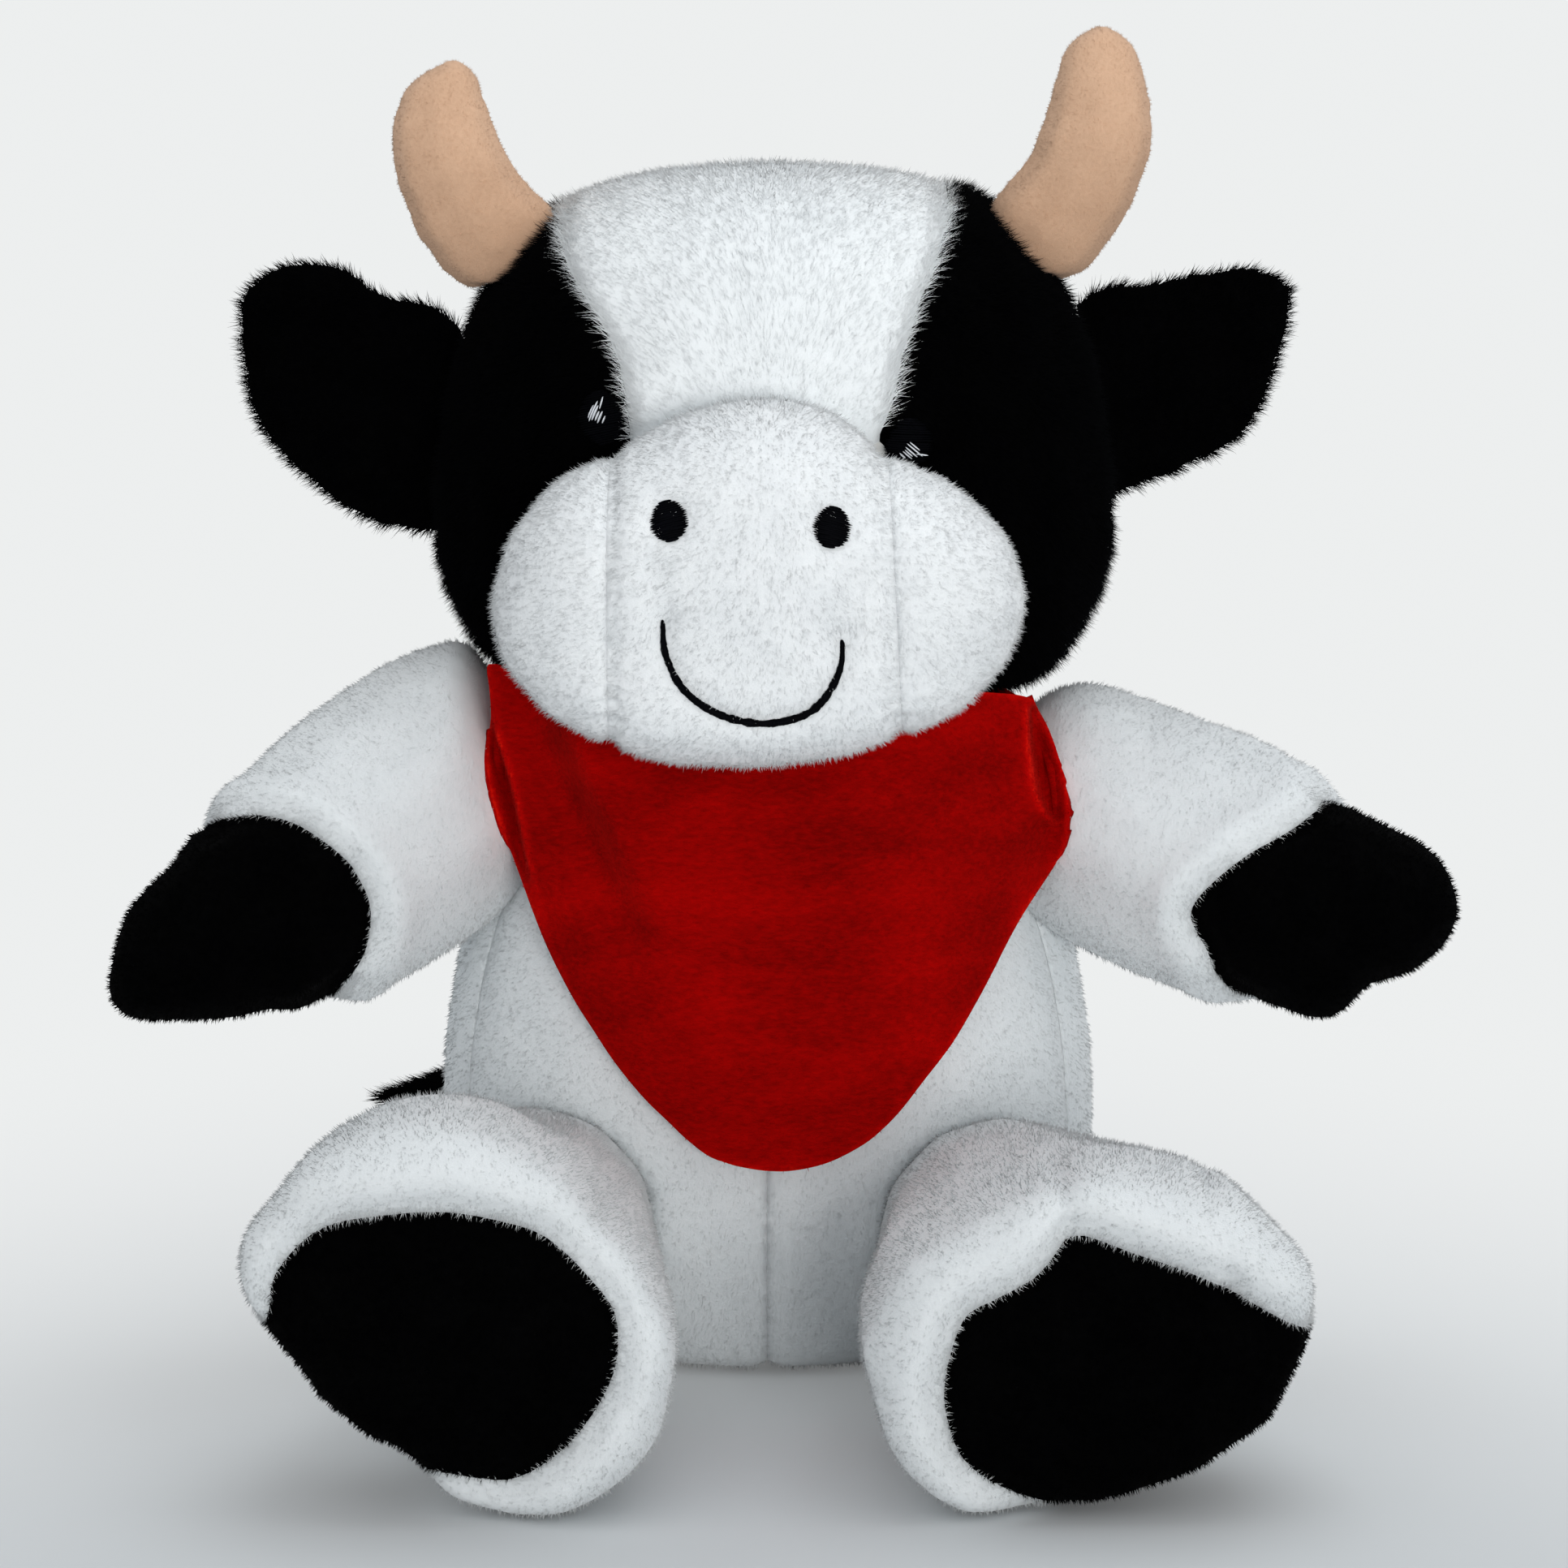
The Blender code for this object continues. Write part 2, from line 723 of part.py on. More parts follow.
def make_head(form, muzzle, sockets, grooves):
    far = 0.2
    half = GAP / 2
    high = HEAD_BOTTOM + 1.2 * HEAD_HEIGHT
    low = MUZZLE_HEIGHT
    forehead = HEAD_BOTTOM + HEAD_HEIGHT - MUZZLE_HEIGHT
    rises = [share * forehead for share in BLAZE_RISES]

    def blaze_outline(wider):
        edge = (
            (0.0, BLAZE_LOW_HALF_WIDTH),
            (rises[0], BLAZE_LOW_HALF_WIDTH),
            (rises[1], BLAZE_WAIST_HALF_WIDTH),
            (rises[2], BLAZE_TOP_HALF_WIDTH),
            (high - low, BLAZE_TOP_HALF_WIDTH),
        )
        sides = {}
        for sign in (1, -1):
            sides[sign] = []
            for up, half_width in edge:
                centre = BLAZE_LOW_CENTRE_X * max(0.0, 1.0 - up / rises[2])
                sides[sign].append((centre + sign * (half_width + wider), low + up))
        return sides[1] + sides[-1][::-1]

    blaze = prism_cutter("blaze_cutter", blaze_outline(0.0), -far, HEAD_BACK_SEAM_Y - half)
    around_blaze = prism_cutter("around_blaze_cutter", blaze_outline(GAP), -far, HEAD_BACK_SEAM_Y)
    seam = HEAD_BACK_SEAM_Y
    left = box_cutter("head_left_cutter", (half, -far, 0), (far, seam - half, far * 2))
    right = box_cutter("head_right_cutter", (-far, -far, 0), (-half, seam - half, far * 2))
    back = box_cutter("head_back_cutter", (-far, seam + half, 0), (far, far, far * 2))
    opening = muzzle.cutter(GAP)
    neck = sockets["neck"]
    form.skin("face_blaze", WHITE_PLUSH, 0.9, within=[blaze], without=[opening])
    for side, region in (("left", left), ("right", right)):
        form.skin(
            f"head_side_{side}",
            BLACK_PLUSH,
            0.9,
            within=[region],
            without=[around_blaze, opening, neck, sockets[f"horn_{side}"], grooves[side]],
        )
    form.skin(
        "head_back_panel",
        BLACK_PLUSH,
        0.9,
        within=[back],
        without=[neck, grooves["left"], grooves["right"]],
    )
    form.filling("head_filling", without=list(sockets.values()) + list(grooves.values()))


def make_muzzle(form, head, neck):
    far = 0.2
    half = GAP / 2
    seam = MUZZLE_SEAM_X
    inside, outside = seam - half, seam + half
    middle = box_cutter("muzzle_middle_cutter", (-inside, -far, 0), (inside, far, far * 2))
    left = box_cutter("cheek_left_cutter", (outside, -far, 0), (far, far, far * 2))
    right = box_cutter("cheek_right_cutter", (-far, -far, 0), (-outside, far, far * 2))
    face = head.cutter(GAP)
    for name, region in (
        ("muzzle_centre_panel", middle),
        ("muzzle_cheek_left", left),
        ("muzzle_cheek_right", right),
    ):
        form.skin(name, WHITE_MINKY, 0.85, within=[region], without=[face])
    form.filling("muzzle_filling", without=[head.filling_cutter(2 * GAP), neck])


def make_embroidery(head, muzzle):
    for side, sign in SIGNS.items():
        x = sign * EYE_APART[side]
        z = MUZZLE_HEIGHT + EYE_RISES[side]
        outline = oval_outline(x, z, EYE_HALF_WIDTH, EYE_HALF_HEIGHT, 0.0, 10)
        ring = oval_outline(x, z, EYE_HIGHLIGHT_RADIUS, EYE_HIGHLIGHT_RADIUS, 0.0, 6)
        around = oval_outline(
            x, z, EYE_HIGHLIGHT_RADIUS + GAP, EYE_HIGHLIGHT_RADIUS + GAP, 0.0, 6
        )
        eye = head.patch(f"eye_{side}", outline, BLACK_THREAD, 0.4, -0.2, 0.0)
        boolean(eye, [muzzle.cutter(GAP), prism_cutter(f"eye_{side}_hole", around, -0.2, 0.0)])
        head.patch(f"eye_highlight_{side}", ring, WHITE_THREAD, 0.5, -0.2, 0.0)
    for side, sign in SIGNS.items():
        outline = oval_outline(
            sign * NOSTRIL_APART / 2 + SMILE_CENTRE_X,
            MUZZLE_HEIGHT + NOSTRIL_RISE,
            NOSTRIL_HALF_WIDTH,
            NOSTRIL_HALF_HEIGHT,
            0.0,
            10,
        )
        muzzle.patch(f"nostril_{side}", outline, BLACK_THREAD, 0.4, -0.2, -0.06)
    make_smile(muzzle)


def make_smile(muzzle):
    """A U of thread that lies on the muzzle."""
    tree = muzzle.surface()
    curve = bpy.data.curves.new("smile", "CURVE")
    curve.dimensions = "3D"
    curve.bevel_depth = SMILE_THREAD_RADIUS
    curve.bevel_resolution = 1
    curve.use_fill_caps = True
    steps = 16
    points = []
    for k in range(steps + 1):
        angle = math.pi * k / steps
        x = SMILE_CENTRE_X - SMILE_HALF_WIDTH * math.cos(angle)
        z = MUZZLE_HEIGHT - SMILE_FALL - SMILE_DEEP * math.sin(angle) ** 0.9
        y = depth_at(tree, x, z) - SMILE_THREAD_RADIUS - 2 * GAP
        points.append((x, y, z, 1.0))
    spline = curve.splines.new("POLY")
    spline.points.add(len(points) - 1)
    for point, place in zip(spline.points, points):
        point.co = place
    link("smile", curve, BLACK_THREAD, 0.4, muzzle.parent)


# Limbs

def make_wad(name, place, radius, parent, segments=8, rings=6):
    """A ball of filling, turned so that its corners meet the flat faces of its pocket."""
    mesh = ball_mesh(name, Vector(), radius, segments, rings)
    half_step = Matrix.Rotation(math.pi / segments, 4, "Z")
    mesh.transform(Matrix.Translation(place) @ Matrix.Rotation(WAD_TURN, 4, "Y") @ half_step)
    link(name, mesh, FIBRE, 0.9, parent)


def wad_room(name, place, radius, direction):
    """The pocket for a wad, and the channel by which its filling reaches the body."""
    pocket = ball_cutter(f"{name}_pocket", place, radius + GAP, 8, 6)
    end = place - direction * ROOT_OPENING_DEPTH
    channel = tube_cutter(f"{name}_channel", place, end, WAD_CHANNEL_RADIUS, 8)
    return [pocket, channel]


def make_arm(side, joint, places, widths, wrist, wrist_axis, parent, wad_parent):
    mesh, _ = limb_mesh(
        f"arm_{side}_form", places, widths, widths, Vector((0, 0, 1)), LIMB_SIDES, 6, HOOF_TIP
    )
    form = Form(f"arm_{side}", mesh, 0, parent)
    inner = block_cutter(f"sleeve_{side}_end", wrist - wrist_axis * GAP / 2, wrist_axis)
    outer = block_cutter(f"hoof_{side}_start", wrist + wrist_axis * GAP / 2, wrist_axis)
    inward = Vector((SIGNS[side], 0.0, 0.3)).normalized()
    end = joint.place - inward * ROOT_OPENING_DEPTH
    opening = tube_cutter(f"arm_{side}_opening", joint.place, end, ROOT_OPENING_RADIUS)
    form.skin(f"arm_sleeve_{side}", WHITE_PLUSH, 0.9, without=[inner, opening])
    form.skin(f"hoof_{side}", BLACK_SHORT, 0.9, within=[outer])
    room = wad_room(f"shoulder_{side}", joint.place, LIMB_WAD_RADIUS, inward)
    form.filling(f"arm_filling_{side}", without=room)
    make_wad(f"shoulder_wad_{side}", joint.place, LIMB_WAD_RADIUS, wad_parent)


def make_leg(side, joint, places, widths, talls, sole, parent, wad_parent, floor):
    dome = FOOT_DOME / min(widths[-1], talls[-1])
    mesh, start = limb_mesh(
        f"leg_{side}_form", places, widths, talls, Vector((0, 0, 1)), LIMB_SIDES + 2, 5, dome
    )
    form = Form(f"leg_{side}", mesh, 0, parent)
    sole_y = FOOT_FRONT_Y + SOLE_DEPTH
    inside = prism_cutter(f"sole_{side}_cutter", closed_curve(sole), -0.2, sole_y)
    around = prism_cutter(f"around_sole_{side}_cutter", closed_curve(sole, GAP), -0.2, sole_y)
    end = joint.place - start * ROOT_OPENING_DEPTH
    opening = tube_cutter(f"leg_{side}_opening", joint.place, end, ROOT_OPENING_RADIUS)
    form.skin(f"leg_sleeve_{side}", WHITE_PLUSH, 0.9, without=[floor, around, opening])
    form.skin(f"sole_{side}", BLACK_SHORT, 0.9, within=[inside])
    room = wad_room(f"hip_{side}", joint.place, LIMB_WAD_RADIUS, start)
    form.filling(f"leg_filling_{side}", without=room)
    make_wad(f"hip_wad_{side}", joint.place, LIMB_WAD_RADIUS, wad_parent)


def make_horn(side, places, widths, parent):
    mesh, start = limb_mesh(
        f"horn_{side}_form", places, widths, widths, Vector((0, 1, 0)), HORN_SIDES, 4, 0.9, 2
    )
    form = Form(f"horn_{side}", mesh, 0, parent)
    end = places[0] - start * 3.0 * HORN_ROOT_RADIUS
    opening = tube_cutter(f"horn_{side}_opening", places[0], end, 0.6 * HORN_ROOT_RADIUS)
    form.skin(f"horn_sleeve_{side}", PEACH_VELOUR, 0.85, without=[opening])
    form.filling(f"horn_filling_{side}")


# Ears

def make_ear(side, low_root, high_root, parent):
    """Two layers of plush sewn round the edge, turning about the line of their root."""
    length = SIGNS[side] * EAR_LENGTHS[side]
    count = 6
    rows = 4
    root_radius = EAR_THICKNESS / 2
    outline = [Vector((length * out, 0.0, EAR_ROOT_LENGTH * up)) for out, up in EAR_RIM]
    rim = [low_root + curve_point(outline, k / (2.0 * count)) for k in range(2 * count + 1)]
    rim[-1] = high_root
    for layer, way in (("front", -1.0), ("back", 1.0)):
        flat = []
        proud = []
        for i in range(count + 1):
            reach = i / count
            flat.append([])
            proud.append([])
            for j in range(rows + 1):
                share = j / rows
                place = rim[i].lerp(rim[2 * count - i], share)
                fullness = math.sqrt(math.sin(math.pi * share) * (1.0 - reach**4) + 1e-9)
                thick = root_radius * max(fullness, 0.3)
                middle = place + Vector((0.0, EAR_BOW * math.sin(0.5 * math.pi * reach), 0.0))
                flat[i].append(middle + Vector((0.0, way * GAP / 2, 0.0)))
                proud[i].append(middle + Vector((0.0, way * thick, 0.0)))
        name = f"ear_{layer}_{side}"
        link(name, closed_pair(name, flat, proud), BLACK_PLUSH, 0.9, parent)


def closed_pair(name, first, second):
    """One solid between two grids of points of the same size."""
    bm = bmesh.new()
    grids = [[[bm.verts.new(point) for point in row] for row in grid] for grid in (first, second)]
    last = len(first) - 1
    rows = len(first[0]) - 1
    for grid in grids:
        for i in range(last):
            for j in range(rows):
                bm.faces.new((grid[i][j], grid[i + 1][j], grid[i + 1][j + 1], grid[i][j + 1]))
    one, two = grids
    for i in range(last):
        for j in (0, rows):
            bm.faces.new((one[i][j], one[i + 1][j], two[i + 1][j], two[i][j]))
    for j in range(rows):
        for i in (0, last):
            bm.faces.new((one[i][j], one[i][j + 1], two[i][j + 1], two[i][j]))
    bmesh.ops.remove_doubles(bm, verts=bm.verts, dist=0.00002)
    return finish_mesh(name, bm)


# Tail

def make_tail(places, widths, parent):
    up = Vector((0, 0, 1))
    mesh, _ = limb_mesh("tail_form", places, widths, widths, up, 8, 8, 0.8, 2)
    cut = places[2]
    axis = (places[3] - places[2]).normalized()
    tube = link("tail_tube", mesh, WHITE_PLUSH, 0.9, parent)
    boolean(tube, [block_cutter("tail_tube_end", cut - axis * GAP / 2, axis, 0.06)])
    tuft_places = [cut + axis * GAP / 2, places[3], places[3] + (places[3] - cut) * 0.8]
    tuft_widths = [TAIL_RADIUS, TUFT_RADIUS, TUFT_RADIUS * 0.55]
    mesh, _ = limb_mesh("tuft_form", tuft_places, tuft_widths, tuft_widths, up, 8, 5, 1.6, 2)
    tuft = link("tail_tuft", mesh, BLACK_PLUSH, 0.9, parent)
    boolean(tuft, [block_cutter("tuft_start", cut + axis * GAP / 2, -axis, 0.06)])


# Bandana

def cloth_mesh(name, grid, closed=False):
    """A sheet over a grid of points, thickened afterwards."""
    bm = bmesh.new()
    rows = [[bm.verts.new(point) for point in row] for row in grid]
    count = len(rows[0])
    for lower, upper in zip(rows, rows[1:]):
        for i in range(count if closed else count - 1):
            j = (i + 1) % count
            bm.faces.new((lower[i], lower[j], upper[j], upper[i]))
    return finish_mesh(name, bm)


def thicken(obj):
    modifier = obj.modifiers.new("cloth", "SOLIDIFY")
    modifier.thickness = CLOTH
    modifier.offset = 0.0


def front_depth(z):
    """How far forward the cloth lies at the middle of the chest."""
    fall = (BANDANA_HINGE_Z - z) / (BANDANA_HINGE_Z - BANDANA_TIP_Z)
    return BODY_FRONT + BANDANA_STANDOFF * (0.4 + 0.6 * min(max(fall * 4.0, 0.0), 1.0))


def make_flap(parent):
    """The hanging point of the bandana, with the soft fold from its upper right."""
    rows = 8
    columns = 10
    tall = BANDANA_HINGE_Z - GAP - BANDANA_TIP_Z
    grid = []
    for r in range(rows + 1):
        fall = r / rows
        z = BANDANA_HINGE_Z - GAP - tall * fall
        half = FLAP_HALF_WIDTH * (1.0 - fall**1.9) ** 0.60 + FLAP_TIP_HALF_WIDTH
        side_width = BANDANA_SIDE_DEPTH + FLAP_FLARE * fall
        row = []
        for c in range(columns + 1):
            x = half * (2.0 * c / columns - 1.0)
            off_fold = (x - FOLD_TOP_X - FOLD_DRIFT * fall) / FOLD_WIDTH
            fold = FOLD_PROUD * math.exp(-(off_fold**2)) * (1.0 - fall)
            y = -front_depth(z) * math.sqrt(max(0.0, 1.0 - (x / side_width) ** 2)) - fold
            row.append(Vector((x, y, z)))
        grid.append(row)
    thicken(link("bandana_flap", cloth_mesh("bandana_flap", grid), RED_FLEECE, 0.95, parent))


def make_collar(arm_sockets):
    """The bandana round the neck: a narrow band behind, spreading over the chest in front."""
    columns = 24
    rows = 3
    centre = Vector((0.0, NECK_Y, 0.0))
    depth = BODY_FRONT + 0.4 * BANDANA_STANDOFF + NECK_Y
    inner = NECK_CLOTH_RADIUS
    grid = [[] for _ in range(rows + 1)]
    for c in range(columns):
        angle = 2.0 * math.pi * c / columns
        forward = math.cos(angle)
        across = math.sin(angle)
        side = abs(math.degrees(math.atan2(across, forward)))
        spread = 1.0 - min(max((side - 58.0) / 22.0, 0.0), 1.0)
        spread = spread * spread * (3.0 - 2.0 * spread)
        ahead = max(forward, 0.001)
        front_reach = 1.0 / math.hypot(across / BANDANA_SIDE_DEPTH, ahead / depth)
        outer = inner + COLLAR_FLARE + spread * (front_reach - inner - COLLAR_FLARE)
        corner = math.exp(-(((side - 56.0) / 20.0) ** 2))
        rim = COLLAR_BACK_RIM_Z + spread * (COLLAR_RIM_Z - COLLAR_BACK_RIM_Z)
        front_low = BANDANA_HINGE_Z + COLLAR_EDGE_GAP + COLLAR_CORNER_RISE * corner
        low = COLLAR_BACK_Z + spread * (front_low - COLLAR_BACK_Z)
        for r in range(rows + 1):
            t = r / rows
            radius = inner + (outer - inner) * t
            lift = spread * corner * COLLAR_CORNER_LIFT * math.sin(math.pi * t)
            z = rim + (low - rim) * t ** (1.0 + 0.35 * spread) + lift
            grid[r].append(centre + Vector((radius * across, -radius * forward, z)))
    obj = link("bandana_collar", cloth_mesh("bandana_collar", grid, closed=True), RED_FLEECE, 0.95)
    thicken(obj)
    boolean(obj, arm_sockets)


def make_knot():
    flat = 0.8
    collar_back = NECK_Y + NECK_CLOTH_RADIUS + COLLAR_FLARE + CLOTH / 2
    place = Vector((0.0, collar_back + GAP + flat * KNOT_RADIUS, KNOT_HEIGHT))
    mesh = ball_mesh("bandana_knot", place, KNOT_RADIUS, 12, 8, (1.25, flat, 0.9))
    link("bandana_knot", mesh, RED_FLEECE, 0.95)


def place_joints(body_tree, head_tree):
    """Where each stuffed part turns, stood off from the surface that it is sewn to."""
    top = seen_from(body_tree, (0.0, 0.0, -1.0), (0.0, NECK_Y, 0.0))
    joints = {"neck": Joint("neck", top + Vector((0.0, 0.0, NECK_STANDOFF)), NECK_WAD_RADIUS)}
    for side, sign in SIGNS.items():
        shoulder = Vector((sign * ARM_PIVOT_X, ARM_PIVOT_Y, ARM_PIVOT_HEIGHTS[side]))
        joints[f"arm_{side}"] = Joint(f"arm_{side}", shoulder, ARM_ROOT_RADIUS)
        height = FEET[side]["half_height"] - SEAT_CUT
        hip = seen_from(body_tree, (0.0, 1.0, 0.0), (sign * LEG_PIVOT_X, 0.0, height))
        hip.y -= LEG_STANDOFF
        joints[f"leg_{side}"] = Joint(f"leg_{side}", hip, LEG_ROOT_RADIUS)
        horn = HORNS[side]
        root = seen_from(head_tree, (0.0, 0.0, -1.0), (sign * horn["apart"], HORN_PIVOT_Y, 0.0))
        root += Vector((sign * 0.5, 0.0, 0.8)) * HORN_STANDOFF
        joints[f"horn_{side}"] = Joint(f"horn_{side}", root, HORN_ROOT_RADIUS)
    rump = seen_from(body_tree, (0.0, -1.0, 0.0), (-TAIL_ROOT_RADIUS, 0.0, TAIL_HEIGHT))
    rump.y += TAIL_STANDOFF
    joints["tail"] = Joint("tail", rump, TAIL_ROOT_RADIUS)
    return joints


def ear_roots(head_tree):
    """The straight line that each ear is sewn on by, low end first."""
    roots = {}
    for side, sign in SIGNS.items():
        ends = []
        for height in (EAR_ROOT_HEIGHTS[side], EAR_ROOT_HEIGHTS[side] + EAR_ROOT_LENGTH):
            end = seen_from(head_tree, (-sign, 0.0, 0.0), (0.0, EAR_ROOT_Y, height))
            ends.append(end + Vector((sign * EAR_STANDOFF, 0.0, 0.0)))
        roots[side] = ends
    return roots


def make_arms(joints, empties, wads):
    for side, sign in SIGNS.items():
        joint = joints[f"arm_{side}"]
        places = [joint.place]
        length = ARM_LENGTHS[side]
        places += [joint.place + length * Vector((sign * x, y, z)) for x, y, z in ARM_COURSE[side]]
        axis = (places[3] - places[2]).normalized()
        widths = [ARM_ROOT_RADIUS, ARM_RADIUS, ARM_RADIUS, HOOF_RADIUS]
        name = f"arm_{side}"
        make_arm(side, joint, places, widths, places[2], axis, empties[name], wads[name])


def make_legs(joints, empties, wads, floor):
    for side, sign in SIGNS.items():
        joint = joints[f"leg_{side}"]
        foot = FEET[side]
        wide, tall = foot["half_width"], foot["half_height"]
        z = tall - SEAT_CUT
        x = sign * foot["centre_x"]
        knee_x = (joint.place.x + x) / 2
        end_y = FOOT_FRONT_Y + FOOT_DOME
        knee_y = joint.place.y + 0.36 * (end_y - joint.place.y)
        ankle_y = joint.place.y + 0.72 * (end_y - joint.place.y)
        places = [
            joint.place,
            Vector((knee_x, knee_y, z)),
            Vector((x, ankle_y, z)),
            Vector((x, end_y, z)),
        ]
        widths = [LEG_ROOT_RADIUS, 0.85 * wide, wide, 0.96 * wide]
        talls = [LEG_ROOT_RADIUS, 0.93 * tall, tall, 0.98 * tall]
        name = f"leg_{side}"
        sole = [(x + wide * u, tall + tall * v) for u, v in SOLE_OUTLINES[side]]
        make_leg(side, joint, places, widths, talls, sole, empties[name], wads[name], floor)


def make_horns(joints, empties):
    for side, sign in SIGNS.items():
        root = joints[f"horn_{side}"].place
        horn = HORNS[side]
        out, tall = horn["out"] * sign, horn["tall"]
        places = [
            root,
            root + Vector((0.66 * out, -0.001, 0.33 * tall)),
            root + Vector((0.97 * out, -0.001, 0.68 * tall)),
            root + Vector((out, 0.0, tall)),
        ]
        widths = [HORN_ROOT_RADIUS, 0.98 * HORN_ROOT_RADIUS, HORN_MIDDLE_RADIUS, HORN_TIP_RADIUS]
        make_horn(side, places, widths, empties[f"horn_{side}"])


def build():
    floor = floor_cutter()
    body = body_form()
    neck_empty = pivot("head_joint", (0.0, 0.0, 0.0))
    head = head_form(neck_empty)
    muzzle = muzzle_form(neck_empty)
    joints = place_joints(body.surface(), head.surface())
    empties = {}
    wads = {}
    for name, joint in joints.items():
        if name != "neck":
            empties[name] = pivot(f"{name}_joint", joint.place)
        if not name.startswith(("horn", "tail")):
            wads[name] = pivot(f"{name}_wad_joint", joint.place)
    neck_empty.location = joints["neck"].place

    socket_names = ("neck", "arm_left", "arm_right", "leg_left", "leg_right", "tail")
    make_body(body, {name: joints[name].socket for name in socket_names}, floor)

    roots = ear_roots(head.surface())
    grooves = {}
    for side, (low, high) in roots.items():
        groove = EAR_THICKNESS / 2 + 2 * GAP
        reach = (high - low).normalized() * 0.75 * groove
        grooves[side] = tube_cutter(f"ear_{side}_groove", low - reach, high + reach, groove)
    socket_names = ("neck", "horn_left", "horn_right")
    make_head(head, muzzle, {name: joints[name].socket for name in socket_names}, grooves)
    make_muzzle(muzzle, head, joints["neck"].socket)
    make_embroidery(head, muzzle)
    make_wad("neck_wad", joints["neck"].place, NECK_WAD_RADIUS, wads["neck"], 14, 8)

    make_arms(joints, empties, wads)
    make_legs(joints, empties, wads, floor)
    make_horns(joints, empties)
    for side, (low, high) in roots.items():
        make_ear(side, low, high, pivot(f"ear_{side}_joint", low))

    tail_places = [joints["tail"].place + TAIL_LENGTH * Vector(reach) for reach in TAIL_COURSE]
    make_tail(tail_places, [TAIL_ROOT_RADIUS, TAIL_RADIUS, TAIL_RADIUS, TAIL_RADIUS], empties["tail"])

    hinge = pivot("bandana_flap_joint", (0.0, -front_depth(BANDANA_HINGE_Z), BANDANA_HINGE_Z))
    make_collar([joints["arm_left"].socket, joints["arm_right"].socket])
    make_flap(hinge)
    make_knot()


build()
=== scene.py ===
# %% [markdown]
# # A sewn plush cow
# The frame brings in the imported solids, which are the true sizes and places.
# Every soft piece below starts from them and gets its stuffed shape, its seams, its pile and its finish.
# The cow's own left is +X, and it faces -Y.

# %% Load the frame
import math

import bmesh
import bpy
import numpy as np
from mathutils import Matrix, Vector
from mathutils.bvhtree import BVHTree


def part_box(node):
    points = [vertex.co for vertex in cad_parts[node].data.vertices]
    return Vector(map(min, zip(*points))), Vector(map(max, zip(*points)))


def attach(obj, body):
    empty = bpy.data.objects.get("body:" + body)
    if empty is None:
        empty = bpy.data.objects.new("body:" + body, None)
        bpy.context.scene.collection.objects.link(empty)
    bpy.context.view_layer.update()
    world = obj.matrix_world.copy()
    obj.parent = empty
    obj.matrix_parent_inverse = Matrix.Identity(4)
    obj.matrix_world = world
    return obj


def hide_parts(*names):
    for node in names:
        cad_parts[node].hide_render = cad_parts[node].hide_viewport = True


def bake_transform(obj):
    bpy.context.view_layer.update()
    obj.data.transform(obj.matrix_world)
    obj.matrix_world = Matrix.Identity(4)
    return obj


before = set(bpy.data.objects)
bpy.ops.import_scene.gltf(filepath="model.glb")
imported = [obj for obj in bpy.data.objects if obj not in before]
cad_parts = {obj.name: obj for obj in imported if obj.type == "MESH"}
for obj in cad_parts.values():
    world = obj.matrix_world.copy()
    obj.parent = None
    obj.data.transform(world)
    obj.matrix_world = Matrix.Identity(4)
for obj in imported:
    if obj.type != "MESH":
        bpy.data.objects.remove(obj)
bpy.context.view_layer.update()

# %% [markdown]
# ## Camera, floor and light
# The photo looks slightly down at the cow from straight ahead. A long lens keeps the near feet from swelling.
# A soft spot from the front right brightens the head more than the feet. A wide lamp above and a plain fill
# do the rest.

# %% Camera
camera_data = bpy.data.cameras.new("camera")
camera = bpy.data.objects.new("camera", camera_data)
bpy.context.scene.collection.objects.link(camera)
camera.location = (0.0028686, -0.916327, 0.257775)
camera.rotation_euler = (math.radians(80.0), 0.0, 0.0)
camera_data.sensor_width = 36.0
camera_data.lens = 122.8
camera_data.clip_start = 0.01
bpy.context.scene.camera = camera
bpy.context.scene.view_settings.view_transform = "Standard"


# %% Lamps and the fill light
def soft_lamp(name, place, aim, size, watts, colour=(1.0, 1.0, 1.0), cone=None):
    data = bpy.data.lights.new(name, "SPOT" if cone else "AREA")
    if cone:
        data.shadow_soft_size = size
        data.spot_size = math.radians(cone)
        data.spot_blend = 1.0
    else:
        data.shape = "SQUARE"
        data.size = size
    data.energy = watts
    data.color = colour
    lamp = bpy.data.objects.new(name, data)
    bpy.context.scene.collection.objects.link(lamp)
    lamp.location = place
    lamp.rotation_euler = (Vector(aim) - Vector(place)).to_track_quat("-Z", "Y").to_euler()


soft_lamp("top_lamp", (0.15, 0.02, 0.95), (0, 0, 0.15), 0.7, 2.2, (0.90, 0.96, 1.0))
soft_lamp("front_lamp", (0.28, -1.22, 0.27), (-0.01, 0, 0.210), 0.30, 56.0, (1.0, 0.99, 0.975), cone=27)
world = bpy.data.worlds.new("world")
bpy.context.scene.world = world
world.use_nodes = True
world.node_tree.nodes["Background"].inputs["Color"].default_value = (0.97, 0.985, 1.0, 1.0)
world.node_tree.nodes["Background"].inputs["Strength"].default_value = 0.64


# %% Small helpers for node trees
def new_material(name):
    """A material with an empty tree, its Principled node and a way to add more nodes."""
    material = bpy.data.materials.new(name)
    material.use_nodes = True
    tree = material.node_tree
    shader = tree.nodes["Principled BSDF"]

    def add(kind, **settings):
        node = tree.nodes.new(kind)
        for key, value in settings.items():
            if hasattr(node, key):
                setattr(node, key, value)
            else:
                node.inputs[key.replace("_", " ")].default_value = value
        return node

    return material, tree, shader, add


